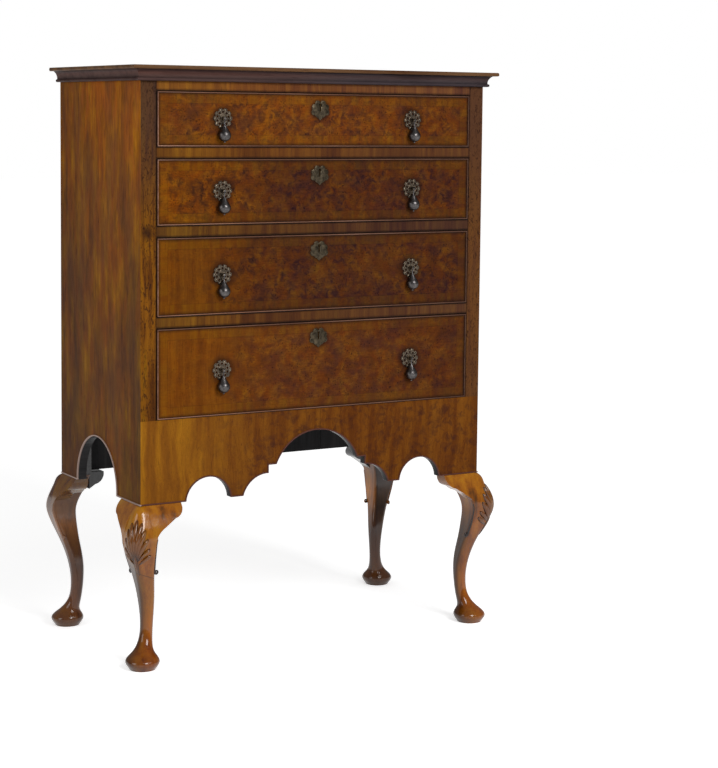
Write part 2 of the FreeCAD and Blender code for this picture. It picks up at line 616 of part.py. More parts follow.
# Pear drop turned about its own length, with an eye for the pin and a flat back
drop = doc.addObject("PartDesign::Body", "drop")
pear = drop.newObject("PartDesign::Revolution", "pear")
pear.Profile = draw(body_sketch(drop, "pear_profile", "XZ"), [
    ("middle", "tip_end_z"), ("tip_radius", "tip_end_z"), ("tip_radius", "tip_z", "belly_z", 1),
    ("shoulder_x", "shoulder_z"), ("neck_radius", "neck_z"), ("neck_radius", "eye_foot_z"),
    ("middle", "eye_foot_z")])
pear.ReferenceAxis = (pear.Profile[0], ["V_Axis"])
pad(drop, ring(body_sketch(drop, "eye_disc", "YZ"), "eye_radius"), "eye_width", midplane=True)
pierce(drop, ring(body_sketch(drop, "eye_hole", "YZ"), "hole_radius"))
flat_drop = cut("flat_drop", drop, board("drop_behind", ("-belly_radius", "belly_radius"),
                                         ("drop_flat", "belly_radius"), ("tip_end_z", "eye_foot_z")))

# Keyhole plate with a lobed edge and a point at the foot, its back at the origin
plate_pieces = [rod("plate_disc", "y", "plate_radius", "plate_thickness", y="-plate_thickness")]
for number, angle in enumerate(PLATE_LOBES):
    plate_pieces.append(rod(f"plate_lobe_{number}", "y", "lobe_radius", "plate_thickness",
                            f"lobe_circle * cos({angle} deg)", "-plate_thickness",
                            f"lobe_circle * sin({angle} deg)"))
point = board("plate_point", ("0", "point_size"), ("0", "plate_thickness"), ("0", "point_size"))
point.Placement.Rotation = FreeCAD.Rotation(FreeCAD.Vector(0, 1, 0), 45)
move(point, "-point_size / sqrt(2)", "-plate_thickness", "-point_drop")
keyhole = [rod("plate_key_eye", "y", "keyhole_radius", "plate_thickness",
               y="-plate_thickness", z="keyhole_rise"),
           board("plate_key_slot", ("-keyhole_slot / 2", "keyhole_slot / 2"), ("-plate_thickness", "0"),
                 ("keyhole_rise - keyhole_length", "keyhole_rise"))]
plate = cut("plate", fuse("plate_blank", *plate_pieces, point), *keyhole)


def copy(name, master, x, y, z):
    """A copy of a master piece at a place tied to the sheet."""
    return move(group(name, master), x, y, z)


def mitred(name, section, ahead, behind, corners):
    """A length of cock bead, sawn to mitres at both ends."""
    wedge = extrude(f"{name}_wedge", profile(f"{name}_mitres", "front", corners, y="-half_depth"),
                    "cock_bead_reach", "cock_bead_depth")
    return common(name, extrude(f"{name}_length", section, ahead, behind), wedge)


# Dovetail on the end of a drawer side
tail = extrude("dovetail", profile("dovetail_outline", "across", [
    ("middle", "-tail_half"), ("middle", "tail_half"), ("-tail_length", "tail_tip"),
    ("-tail_length", "-tail_tip")]), "drawer_side")

# Drawers, each with its lock, keyhole plate, handles and pear drops
for number, word in enumerate(DRAWERS, start=1):
    low = f"{word}_front_low"
    high = f"{word}_front_high"
    seat = f"{word}_seat"
    floor = (f"{word}_floor_low", f"{word}_floor_high")
    handle_z = f"{word}_handle"
    key_z = f"{word}_key"
    whole = ("-half_depth", "front_inner")

    # Front: a thick back part with a field inside the cock beads
    slabs = fuse(f"{word}_slabs",
                 board(f"{word}_front_back", ("-drawer_half", "drawer_half"),
                       ("cock_bead_depth - half_depth", "front_inner"), (low, high)),
                 board(f"{word}_field", ("-field_half", "field_half"), whole,
                       (f"{word}_field_low", f"{word}_field_high")))
    side_high = f"{word}_top - side_drop"
    tail_count = min(number + 2, 5)
    tails = group(f"{word}_tails", *(
        copy(f"{word}_tail_{place}", tail, "-drawer_half", "front_inner",
             f"{seat} + ({side_high} - {seat}) * {(place + 0.5) / tail_count}")
        for place in range(tail_count)))
    hollows = [tails, mirror(f"{word}_tails_right", tails, (1, 0, 0)),
               board(f"{word}_front_groove", ("-drawer_inner - floor_groove", "drawer_inner + floor_groove"),
                     ("front_inner - floor_groove", "front_inner"), floor),
               board(f"{word}_lock_recess", ("-lock_half", "lock_half"), ("lock_front", "front_inner"),
                     (f"{high} - lock_height", high)),
               rod(f"{word}_key_eye", "y", "keyhole_radius", "front_thickness", y="-half_depth",
                   z=f"{key_z} + keyhole_rise"),
               board(f"{word}_key_slot", ("-keyhole_slot / 2", "keyhole_slot / 2"), whole,
                     (f"{key_z} + keyhole_rise - keyhole_length", f"{key_z} + keyhole_rise"))]
    for hand, sign in (("left", "-"), ("right", "")):
        hollows.append(rod(f"{word}_shank_hole_{hand}", "y", "shank_hole", "front_thickness",
                           f"{sign}handle_spread / 2", "-half_depth", handle_z))
    node(cut(f"{word}_front", slabs, *hollows), f"drawer_front_{number}")

    # Cock beads round the front's edges
    lengths = []
    for edge, field, foot, head in (("low", f"{word}_field_low", low, f"{word}_field_low"),
                                    ("high", f"{word}_field_high", f"{word}_field_high", high)):
        outer = low if edge == "low" else high
        ridge = f"{word}_bead_{edge}"
        section = profile(f"{word}_{edge}_section", "across", [
            ("bead_root", foot), ("bead_nose", foot, ridge, -1), ("bead_front", ridge, ridge, -1),
            ("bead_nose", head), ("bead_root", head)])
        lengths.append(mitred(f"{word}_bead_{edge}", section, "drawer_half", "drawer_half", [
            ("-drawer_half", outer), ("drawer_half", outer), ("field_half", field), ("-field_half", field)]))
    section = profile(f"{word}_left_section", "plan", [
        ("-drawer_half", "bead_root"), ("-drawer_half", "bead_nose", "bead_nose", 1),
        ("-bead_aside", "bead_front", "bead_nose", 1), ("-field_half", "bead_nose"),
        ("-field_half", "bead_root")], z=low)
    bead_left = mitred(f"{word}_bead_left", section, f"{high} - {low}", "0", [
        ("-drawer_half", low), ("-field_half", f"{word}_field_low"), ("-field_half", f"{word}_field_high"),
        ("-drawer_half", high)])
    node(group(f"{word}_beads", *lengths, bead_left, mirror(f"{word}_bead_right", bead_left, (1, 0, 0))),
         f"cock_beads_{number}")

    # Box: sides grooved and dovetailed to the front, a low back and a bottom that slides in from behind
    side_blank = board(f"{word}_side_blank", ("-drawer_half", "-drawer_inner"), ("front_inner", "drawer_end"),
                       (seat, side_high))
    cheek_left = cut(f"{word}_side_left", fuse(f"{word}_side_tailed", side_blank, tails),
                     board(f"{word}_side_groove", ("-drawer_inner - floor_groove", "-drawer_inner"),
                           ("front_inner - floor_groove", "drawer_end"), floor))
    node(group(f"{word}_sides", cheek_left, mirror(f"{word}_side_right", cheek_left, (1, 0, 0))),
         f"drawer_sides_{number}")
    node(board(f"{word}_back", ("-drawer_inner", "drawer_inner"), ("drawer_end - drawer_back", "drawer_end"),
               (floor[1], f"{word}_top - back_drop")), f"drawer_back_{number}")
    node(board(f"{word}_bottom_board", ("-drawer_inner - floor_groove", "drawer_inner + floor_groove"),
               ("front_inner - floor_groove", "drawer_end"), floor), f"drawer_bottom_{number}")

    # Lock let into the back of the front, with a bolt that rises into the rail
    slot = ("-bolt_half - lock_gap", "bolt_half + lock_gap")
    node(cut(f"{word}_lock",
             board(f"{word}_lock_blank", ("-lock_half", "lock_half"), ("lock_front", "front_inner"),
                   (f"{high} - lock_height", high)),
             board(f"{word}_lock_hollow", ("lock_wall - lock_half", "lock_half - lock_wall"),
                   ("lock_front", "front_inner - lock_wall"),
                   (f"{high} - lock_height + lock_wall", f"{high} - lock_wall")),
             board(f"{word}_lock_slot", slot, ("bolt_front - lock_gap", "bolt_back + lock_gap"),
                   (f"{high} - lock_height / 2", high))), f"lock_{number}")
    node(board(f"{word}_bolt", ("-bolt_half", "bolt_half"), ("bolt_front", "bolt_back"),
               (f"{high} - bolt_length", high)), f"lock_bolt_{number}")
    node(copy(f"{word}_plate", plate, "0", "-half_depth", key_z), f"escutcheon_{number}")

    # Handles
    axis_y = "-half_depth - pin_reach"
    left_x = "-handle_spread / 2"
    right_x = "handle_spread / 2"
    node(group(f"{word}_mounts", copy(f"{word}_mount_left", mount, left_x, axis_y, handle_z),
               copy(f"{word}_mount_right", mount, right_x, axis_y, handle_z)), f"handle_mounts_{number}")
    node(copy(f"{word}_drop_left", flat_drop, left_x, axis_y, handle_z), f"drop_{number}_left")
    node(copy(f"{word}_drop_right", flat_drop, right_x, axis_y, handle_z), f"drop_{number}_right")

# Check and export
doc.recompute()
for item in doc.Objects:
    if {"Invalid", "Error"} & set(item.State):
        raise RuntimeError(f"{item.Name} did not compute")
os.makedirs("parts", exist_ok=True)
for item in nodes:
    if item.Shape.isNull() or not item.Shape.isValid():
        raise RuntimeError(f"{item.Label} has no sound shape")
    item.Shape.exportStep(f"parts/{item.Label}.step")
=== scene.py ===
import math
import bpy
from mathutils import Matrix, Vector
from mathutils.bvhtree import BVHTree


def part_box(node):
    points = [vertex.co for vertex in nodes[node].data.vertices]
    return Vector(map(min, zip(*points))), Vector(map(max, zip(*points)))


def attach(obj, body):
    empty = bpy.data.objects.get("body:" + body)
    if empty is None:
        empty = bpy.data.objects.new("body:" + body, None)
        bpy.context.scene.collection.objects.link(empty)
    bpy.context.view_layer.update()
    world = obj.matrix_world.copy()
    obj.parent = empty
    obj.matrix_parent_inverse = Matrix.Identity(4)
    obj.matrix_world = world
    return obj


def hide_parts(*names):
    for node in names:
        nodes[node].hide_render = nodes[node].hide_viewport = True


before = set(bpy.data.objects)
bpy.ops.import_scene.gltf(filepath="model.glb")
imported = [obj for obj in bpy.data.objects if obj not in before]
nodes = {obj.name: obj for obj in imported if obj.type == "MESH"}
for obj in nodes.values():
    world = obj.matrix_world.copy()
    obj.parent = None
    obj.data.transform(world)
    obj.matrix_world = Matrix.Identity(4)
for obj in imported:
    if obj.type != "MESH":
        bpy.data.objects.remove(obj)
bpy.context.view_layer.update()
scene = bpy.context.scene
scene.view_settings.view_transform = "Standard"
bpy.ops.object.select_all(action="DESELECT")

# Sizes of the chest that the finishes and carvings follow, in metres
DRAWER_SPANS = {1: (1.168, 1.290), 2: (0.994, 1.141), 3: (0.792, 0.967), 4: (0.562, 0.765)}
CASE_HALF = 0.450
CASE_FRONT = -0.230
OPENING_HALF = 0.4115
FIELD_HALF = 0.4065
COCK_BEAD = 0.004
BAND_WIDTH = 0.022
CASE_BOTTOM = 0.372
HANDLE_X = 0.250
HANDLE_HEIGHTS = {1: 1.231, 2: 1.0695, 3: 0.8815, 4: 0.6655}
KEY_HEIGHTS = {1: 1.2515, 2: 1.1025, 3: 0.9285, 4: 0.7265}
KNOT = (-0.434, 0.979)
CORNICE_SPAN = (1.3120, 1.3375)
RAIL_ROWS = 6.67
OLD_JOINT = (-0.424, 0.2085)
OLD_JOINT_SLOPE = 0.38
FACE_SKIN = 0.0004
RIGHT_FRONT = (0.86, -0.51, 0.0)
APRON_JOINT = 0.007
BACK_BRACKETS = (0.020, 0.195)
SHIN_SPAN = (0.29, 0.23)
STILE_SPAN = (0.55, 1.30)
RAIL_SPAN = (0.55, 1.31)
FLOAT, VECTOR = "NodeSocketFloat", "NodeSocketVector"
UPRIGHT = (0, math.pi / 2, 0)
LEVEL = (0, 0, 0)
INWARD = (0, 0, math.pi / 2)


# Node helpers
def connect(tree, item, sockets):
    """Set or link the inputs of a node."""
    for key, entry in sockets.items():
        if isinstance(entry, bpy.types.NodeSocket):
            tree.links.new(entry, item.inputs[key])
        else:
            item.inputs[key].default_value = entry
    return item


def put(tree, kind, sockets=None, **settings):
    """Add a shader node with its settings and inputs."""
    item = tree.nodes.new("ShaderNode" + kind)
    for name, setting in settings.items():
        setattr(item, name, setting)
    return connect(tree, item, sockets or {})


def calc(tree, operation, *entries):
    return put(tree, "Math", dict(enumerate(entries)), operation=operation).outputs[0]


def stretch(tree, low, high, source):
    """Spread a value between two limits over 0 to 1."""
    return put(tree, "MapRange", {"Value": source, "From Min": low, "From Max": high}, clamp=True).outputs[0]


def swing(tree, source, amount):
    """A value about its middle, from minus half the amount to half of it."""
    return calc(tree, "MULTIPLY", calc(tree, "SUBTRACT", source, 0.5), amount)


def mix(tree, factor, first, second, how="MIX"):
    ends = [entry if isinstance(entry, bpy.types.NodeSocket) else (*entry, 1) for entry in (first, second)]
    item = put(tree, "Mix", {0: factor, 6: ends[0], 7: ends[1]}, data_type="RGBA", blend_type=how)
    return item.outputs[2]


def shade(tree, colour, level):
    """A colour made lighter or darker by a value."""
    grey = put(tree, "CombineColor", {0: level, 1: level, 2: level}).outputs[0]
    return mix(tree, 1.0, colour, grey, "MULTIPLY")


def ramp(tree, factor, stops):
    """A colour ramp through pairs of place and colour."""
    item = put(tree, "ValToRGB", {0: factor})
    elements = item.color_ramp.elements
    while len(elements) < len(stops):
        elements.new(1.0)
    for element, (place, colour) in zip(elements, stops):
        element.position = place
        element.color = (*colour, 1.0)
    return item.outputs[0]


def laid(tree, vector, scale=(1, 1, 1), shift=(0, 0, 0), turn=LEVEL):
    sockets = {"Vector": vector, "Location": shift, "Rotation": turn, "Scale": scale}
    return put(tree, "Mapping", sockets).outputs[0]


def noise(tree, vector, scale, detail=4.0, roughness=0.55, distortion=0.0):
    sockets = {"Vector": vector, "Scale": scale, "Detail": detail, "Roughness": roughness,
               "Distortion": distortion}
    return put(tree, "TexNoise", sockets).outputs["Fac"]


def swayed(tree, vector, scale, amount):
    """A vector pushed about by a slow noise."""
    bend = put(tree, "TexNoise", {"Vector": vector, "Scale": scale, "Detail": 2.0}).outputs["Color"]
    centred = put(tree, "VectorMath", {0: bend, 1: (0.5, 0.5, 0.5)}, operation="SUBTRACT").outputs[0]
    push = put(tree, "VectorMath", {0: centred, "Scale": amount}, operation="SCALE").outputs[0]
    return put(tree, "VectorMath", {0: vector, 1: push}, operation="ADD").outputs[0]


def axes(tree, vector):
    return put(tree, "SeparateXYZ", {0: vector}).outputs


def new_group(name, takes, gives):
    """A shader node group with its inputs and outputs, and its two end nodes."""
    tree = bpy.data.node_groups.new(name, "ShaderNodeTree")
    for label, kind, default in takes:
        socket = tree.interface.new_socket(label, in_out="INPUT", socket_type=kind)
        if default is not None:
            socket.default_value = default
    for label in gives:
        tree.interface.new_socket(label, in_out="OUTPUT", socket_type=FLOAT)
    return tree, tree.nodes.new("NodeGroupInput").outputs, tree.nodes.new("NodeGroupOutput").inputs


def use(tree, made, sockets):
    item = tree.nodes.new("ShaderNodeGroup")
    item.node_tree = made
    return connect(tree, item, sockets).outputs


# Straight grain: growth streaks, fine fibres and open pores, long in the first direction
def make_grain():
    tree, takes, gives = new_group("walnut_grain", [
        ("Vector", VECTOR, None), ("Streak scale", FLOAT, 45.0), ("Wander", FLOAT, 0.012)],
        ["Streak", "Fibre", "Pore"])
    lain = swayed(tree, takes["Vector"], 5.0, takes["Wander"])
    streak = noise(tree, laid(tree, lain, (0.05, 1, 1)), takes["Streak scale"], 5.0, 0.62)
    fibre = noise(tree, laid(tree, lain, (0.02, 1, 1)), 520.0, 3.0, 0.6)
    pore = noise(tree, laid(tree, lain, (0.035, 1, 1)), 800.0, 1.0)
    tree.links.new(streak, gives["Streak"])
    tree.links.new(fibre, gives["Fibre"])
    tree.links.new(stretch(tree, 0.62, 0.74, pore), gives["Pore"])
    return tree


# Burr: cloudy ground, a drift of hue, dark blots in zones, small eyes in clusters and curly fibres
def make_burr():
    tree, takes, gives = new_group("walnut_burr", [("Vector", VECTOR, None)],
                                   ["Ground", "Drift", "Cloud", "Mottle", "Eye", "Curl"])
    place = takes["Vector"]
    slow = swayed(tree, place, 9.0, 0.05)
    ground = noise(tree, slow, 26.0, 5.0, 0.6)
    drift = noise(tree, swayed(tree, place, 14.0, 0.04), 42.0, 3.0, 0.55)
    twisted = swayed(tree, place, 30.0, 0.02)
    blot = noise(tree, twisted, 62.0, 4.0, 0.58, 0.5)
    zone = noise(tree, slow, 13.0, 3.0, 0.55)
    cloud = stretch(tree, 0.46, 0.68, noise(tree, swayed(tree, place, 6.0, 0.08), 17.0, 4.0, 0.6))
    mottle = stretch(tree, 0.46, 0.72, calc(tree, "ADD", blot, swing(tree, zone, 0.6)))
    cells = put(tree, "TexVoronoi", {"Vector": twisted, "Scale": 190.0, "Randomness": 1.0})
    spot = stretch(tree, 0.42, 0.14, cells.outputs["Distance"])
    chosen = put(tree, "SeparateColor", {0: cells.outputs["Color"]}).outputs[0]
    gathered = stretch(tree, 0.42, 0.56, noise(tree, place, 22.0, 2.0))
    eye = calc(tree, "MULTIPLY", spot, calc(tree, "MULTIPLY", stretch(tree, 0.35, 0.7, chosen), gathered))
    curl = noise(tree, twisted, 260.0, 3.0, 0.65, 2.0)
    for label, source in (("Ground", ground), ("Drift", drift), ("Cloud", cloud), ("Mottle", mottle),
                          ("Eye", eye), ("Curl", curl)):
        tree.links.new(source, gives[label])
    return tree


# Crossbanding round a panel: where the band lies, and where its grain stands upright
def make_banding():
    tree, takes, gives = new_group("crossbanding", [
        ("Vector", VECTOR, None), ("Half width", FLOAT, FIELD_HALF), ("Low", FLOAT, 0.0),
        ("High", FLOAT, 1.0), ("Band", FLOAT, BAND_WIDTH)], ["Band", "Upright", "Inset"])
    place = axes(tree, takes["Vector"])
    aside = calc(tree, "SUBTRACT", takes["Half width"], calc(tree, "ABSOLUTE", place["X"]))
    above = calc(tree, "MINIMUM", calc(tree, "SUBTRACT", place["Z"], takes["Low"]),
                 calc(tree, "SUBTRACT", takes["High"], place["Z"]))
    inset = calc(tree, "MINIMUM", aside, above)
    tree.links.new(calc(tree, "LESS_THAN", inset, takes["Band"]), gives["Band"])
    tree.links.new(calc(tree, "LESS_THAN", above, aside), gives["Upright"])
    tree.links.new(inset, gives["Inset"])
    return tree


# Darkening along an edge, strongest at the edge and broken along it: dark joint lines, and painted shadow in
# the gaps round the drawers
def make_edge_darkening():
    tree, takes, gives = new_group("edge_darkening", [
        ("Vector", VECTOR, None), ("Distance", FLOAT, 0.0), ("Reach", FLOAT, 0.003)], ["Mask"])
    ragged = calc(tree, "MULTIPLY_ADD", noise(tree, takes["Vector"], 60.0, 3.0), 0.8, 0.6)
    reach = calc(tree, "MULTIPLY", takes["Reach"], ragged)
    fade = put(tree, "MapRange", {"Value": takes["Distance"], "From Min": 0.0, "From Max": reach,
                                  "To Min": 1.0, "To Max": 0.0}, clamp=True).outputs[0]
    tree.links.new(fade, gives["Mask"])
    return tree


grain_group = make_grain()
burr_group = make_burr()
banding_group = make_banding()
edge_darkening_group = make_edge_darkening()

# Colours of the woods
NEAR_BLACK = (0.006, 0.004, 0.004)
DEEP = (0.022, 0.009, 0.006)
DARK = (0.058, 0.020, 0.007)
BROWN = (0.118, 0.038, 0.007)
RUSSET = (0.178, 0.057, 0.007)
GOLD = (0.255, 0.092, 0.008)
HONEY = (0.340, 0.140, 0.012)
RUST = (0.185, 0.050, 0.006)
AMBER = (0.275, 0.088, 0.007)
PLUM = (0.046, 0.017, 0.012)
MULBERRY = (0.075, 0.027, 0.015)
NIGHT = (0.040, 0.024, 0.021)
OLIVE = (0.250, 0.112, 0.006)
DUSK = (0.115, 0.047, 0.022)


def material(name):
    """A new material, with its tree, its shader and the piece's own coordinates."""
    made = bpy.data.materials.new(name)
    made.use_nodes = True
    tree = made.node_tree
    return made, tree, tree.nodes["Principled BSDF"], put(tree, "TexCoord").outputs["Object"]


def waxed(tree, shader, colour, rough, height, specular=0.04, relief=0.15):
    """Feed the shader with a waxed finish."""
    tree.links.new(colour, shader.inputs["Base Color"])
    tree.links.new(rough, shader.inputs["Roughness"])
    shader.inputs["Specular IOR Level"].default_value = specular
    bump = put(tree, "Bump", {"Height": height, "Strength": relief, "Distance": 0.0006})
    tree.links.new(bump.outputs[0], shader.inputs["Normal"])


def grained(tree, place, turn, tones, streak_scale, wander=0.012, shift=(0, 0, 0), broad=0.45, fine=0.5):
    """Colour, fibre and pore of straight-grained wood whose grain is level before the turn."""
    lain = laid(tree, place, shift=shift, turn=turn)
    figure = use(tree, grain_group, {"Vector": lain, "Streak scale": streak_scale, "Wander": wander})
    slow = noise(tree, laid(tree, lain, (0.3, 1, 1)), 9.0, 3.0)
    tone = calc(tree, "ADD", figure["Streak"], swing(tree, slow, broad))
    colour = shade(tree, ramp(tree, tone, tones), calc(tree, "ADD", swing(tree, figure["Fibre"], fine), 1.0))
    colour = mix(tree, calc(tree, "MULTIPLY", figure["Pore"], 0.5), colour, DEEP)
    return colour, figure


def faded(tree, colour, source, low, high, stops):
    """A colour multiplied by tints spread along a value."""
    tints = [(place, tint if isinstance(tint, tuple) else (tint, tint, tint)) for place, tint in stops]
    return mix(tree, 1.0, colour, ramp(tree, stretch(tree, low, high, source), tints), "MULTIPLY")


def dark_line_and_shade(tree, place, colour, distance, reach, strength=0.85):
    """Darken a colour along an edge: dark joint lines, painted shadow in the gaps round the drawers, and the
    darker rim of each drawer front.
    """
    mask = use(tree, edge_darkening_group, {"Vector": place, "Distance": distance, "Reach": reach})["Mask"]
    return mix(tree, calc(tree, "MULTIPLY", mask, strength), colour, NEAR_BLACK)


def finish_grained(tree, shader, colour, figure, gloss, specular=0.04):
    rough = calc(tree, "ADD", swing(tree, figure["Fibre"], 0.14), gloss)
    height = calc(tree, "SUBTRACT", figure["Fibre"], figure["Pore"])
    waxed(tree, shader, colour, rough, height, specular)


def plain_wood(name, turn, tones, streak_scale, gloss=0.36, specular=0.04, **figure_settings):
    made, tree, shader, place = material(name)
    colour, figure = grained(tree, place, turn, tones, streak_scale, **figure_settings)
    finish_grained(tree, shader, colour, figure, gloss, specular)
    return made


PINE_TONES = [(0.30, (0.050, 0.030, 0.016)), (0.50, (0.085, 0.052, 0.028)), (0.70, (0.130, 0.082, 0.045))]
OAK_TONES = [(0.30, (0.130, 0.078, 0.032)), (0.50, (0.210, 0.130, 0.058)), (0.70, (0.290, 0.190, 0.090))]
STAINED_TONES = [(0.30, (0.022, 0.022, 0.023)), (0.55, (0.036, 0.035, 0.036)), (0.75, (0.050, 0.048, 0.047))]
SIDE_TONES = [(0.26, (0.090, 0.033, 0.007)), (0.42, (0.200, 0.071, 0.006)), (0.56, (0.300, 0.116, 0.005)),
              (0.74, (0.440, 0.185, 0.007))]
SIDE_REDS = [(0.28, (0.095, 0.030, 0.008)), (0.48, (0.230, 0.067, 0.008)), (0.72, (0.350, 0.110, 0.009))]
STILE_TONES = [(0.24, (0.090, 0.030, 0.007)), (0.38, BROWN), (0.54, GOLD), (0.76, OLIVE)]
BACK_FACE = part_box("back_boards")[1].y


def outer_aside(tree, spot):
    return calc(tree, "GREATER_THAN", calc(tree, "ABSOLUTE", spot["X"]), CASE_HALF - FACE_SKIN)


def side_veneer(tree, place):
    """The flamed veneer of the case's sides, duller towards the foot and the lower front."""
    spot = axes(tree, place)
    figure = use(tree, grain_group, {"Vector": laid(tree, place, turn=UPRIGHT), "Streak scale": 60.0,
                                     "Wander": 0.02})
    flame = use(tree, burr_group, {"Vector": laid(tree, place, (0.8, 0.8, 0.26), (3.7, 0.4, 1.1))})
    tone = calc(tree, "ADD", flame["Ground"], swing(tree, figure["Streak"], 0.35))
    colour = mix(tree, stretch(tree, 0.40, 0.60, flame["Drift"]), ramp(tree, tone, SIDE_TONES),
                 ramp(tree, tone, SIDE_REDS))
    colour = mix(tree, calc(tree, "MULTIPLY", flame["Cloud"], 0.60), colour, DUSK)
    colour = mix(tree, calc(tree, "MULTIPLY", flame["Mottle"], 0.25), colour, DARK)
    fleck = stretch(tree, 0.58, 0.70, noise(tree, laid(tree, place, (1, 1, 0.12)), 240.0, 2.0))
    colour = mix(tree, calc(tree, "MULTIPLY", fleck, 0.45), colour, DEEP)
    lines = noise(tree, laid(tree, swayed(tree, place, 8.0, 0.02), (1, 1, 0.035)), 170.0, 4.0, 0.65)
    colour = shade(tree, colour, calc(tree, "ADD", swing(tree, lines, 0.8), 1.0))
    colour = shade(tree, colour, calc(tree, "ADD", swing(tree, figure["Fibre"], 0.5), 1.04))
    colour = faded(tree, colour, spot["Z"], CASE_BOTTOM, 1.3, [
        (0.0, (0.58, 0.62, 0.75)), (0.35, (0.70, 0.69, 0.68)), (0.65, (0.85, 0.81, 0.70)),
        (1.0, (1.30, 1.17, 1.0))])
    colour = faded(tree, colour, spot["Y"], CASE_FRONT, -CASE_FRONT, [
        (0.0, 1.0), (0.35, 1.0), (0.75, (0.80, 0.82, 0.88)), (1.0, (0.60, 0.62, 0.74))])
    lower = calc(tree, "MULTIPLY", stretch(tree, -0.10, -0.185, spot["Y"]),
                 stretch(tree, 1.0, 0.80, spot["Z"]))
    return mix(tree, lower, colour, mix(tree, 1.0, colour, (0.80, 0.88, 1.05), "MULTIPLY"))


def faced_wood(name, turn, tones, streak_scale, on_face, change=None, gloss=0.36, specular=0.04, sided=False,
               **figure_settings):
    """Veneer or polish on the show face of a board, and stained wood on its other faces."""
    made, tree, shader, place = material(name)
    spot = axes(tree, place)
    colour, figure = grained(tree, place, turn, tones, streak_scale, **figure_settings)
    if change:
        colour = change(tree, place, colour)
    shown = on_face(tree, spot)
    if sided:
        aside = outer_aside(tree, spot)
        colour = mix(tree, aside, colour, side_veneer(tree, place))
        shown = calc(tree, "MAXIMUM", shown, aside)
    stained, _ = grained(tree, place, turn, STAINED_TONES, 40.0)
    finish_grained(tree, shader, mix(tree, shown, stained, colour), figure, gloss, specular)
    return made


def outer_front(tree, spot):
    return calc(tree, "LESS_THAN", spot["Y"], CASE_FRONT + FACE_SKIN)


def outer_back(tree, spot):
    return calc(tree, "GREATER_THAN", spot["Y"], BACK_FACE - FACE_SKIN)


def below_case(tree, spot):
    return calc(tree, "LESS_THAN", spot["Z"], CASE_BOTTOM)


def outer_corners(tree, spot):
    """The brackets below the case, without those across the back."""
    inside = calc(tree, "LESS_THAN", calc(tree, "ABSOLUTE", spot["X"]), CASE_HALF - BACK_BRACKETS[0])
    behind = calc(tree, "MULTIPLY", inside, calc(tree, "GREATER_THAN", spot["Y"], BACK_BRACKETS[1]))
    return calc(tree, "MULTIPLY", below_case(tree, spot), calc(tree, "SUBTRACT", 1.0, behind))


def apron_change(tree, place, colour):
    """Darker to the right, partly the veneer's own tone and partly painted shade, with the joint between the
    two halves of the veneer.
    """
    across = axes(tree, place)["X"]
    figure = use(tree, burr_group, {"Vector": laid(tree, place, shift=(6.1, 0, 3.3))})
    blot = calc(tree, "MULTIPLY", figure["Mottle"], stretch(tree, -0.36, -0.12, across))
    colour = mix(tree, calc(tree, "MULTIPLY", blot, 0.6), colour, PLUM)
    colour = shade(tree, colour, calc(tree, "ADD", swing(tree, figure["Curl"], 0.6), 1.0))
    # partly the veneer's own tone, partly painted light at the left and painted shade to the right
    colour = faded(tree, colour, across, -CASE_HALF, CASE_HALF, [
        (0.10, (1.05, 1.14, 1.0)), (0.30, (0.68, 0.66, 0.9)), (0.6, (0.58, 0.52, 0.7)),
        (1.0, (0.60, 0.55, 0.8))])
    beside = calc(tree, "ABSOLUTE", calc(tree, "SUBTRACT", across, APRON_JOINT))
    return dark_line_and_shade(tree, place, colour, beside, 0.0012, 0.6)


def apart(tree, across, centre_x, up, centre_z):
    """Distance from a point of the front."""
    aside = calc(tree, "SUBTRACT", across, centre_x)
    above = calc(tree, "SUBTRACT", up, centre_z)
    return calc(tree, "SQRT", calc(tree, "ADD", calc(tree, "MULTIPLY", aside, aside),
                                   calc(tree, "MULTIPLY", above, above)))


def stile_edges(tree, place, colour):
    """Dark at the top, with crinkled streaks and a knot, painted shade over the right stile, and painted
    shadow in the gaps beside the drawers.
    """
    spot = axes(tree, swayed(tree, place, 60.0, 0.012))
    away = apart(tree, spot["X"], KNOT[0], spot["Z"], KNOT[1])
    colour = faded(tree, colour, spot["Z"], *STILE_SPAN, [
        (0.0, 0.70), (0.30, 0.80), (0.50, 0.76), (0.64, 0.64), (1.0, 0.60)])
    colour = mix(tree, calc(tree, "MULTIPLY", stretch(tree, 0.98, 1.22, spot["Z"]), 0.68), colour, NIGHT)
    # painted shade: the right stile duskier and darker than the left
    right = calc(tree, "GREATER_THAN", spot["X"], 0.0)
    colour = mix(tree, calc(tree, "MULTIPLY", right, 0.65), colour, DUSK)
    colour = shade(tree, colour, calc(tree, "MULTIPLY_ADD", right, -0.20, 1.0))
    crinkle = noise(tree, laid(tree, swayed(tree, place, 45.0, 0.02), (1, 1, 0.28)), 210.0, 3.0, 0.6, 1.6)
    colour = mix(tree, calc(tree, "MULTIPLY", stretch(tree, 0.53, 0.64, crinkle), 0.85), colour, DEEP)
    colour = mix(tree, calc(tree, "MULTIPLY", stretch(tree, 0.022, 0.004, away), 0.85), colour, DEEP)
    # painted shadow in the gap beside each drawer
    beside = calc(tree, "SUBTRACT", calc(tree, "ABSOLUTE", axes(tree, place)["X"]), OPENING_HALF)
    return dark_line_and_shade(tree, place, colour, beside, 0.0042, 0.9)


def facing_light(tree):
    """How far a face turns to the right front, from -1 to 1; it sets painted light and shade on the legs."""
    face = put(tree, "NewGeometry").outputs["Normal"]
    return put(tree, "VectorMath", {0: face, 1: RIGHT_FRONT}, operation="DOT_PRODUCT").outputs["Value"]


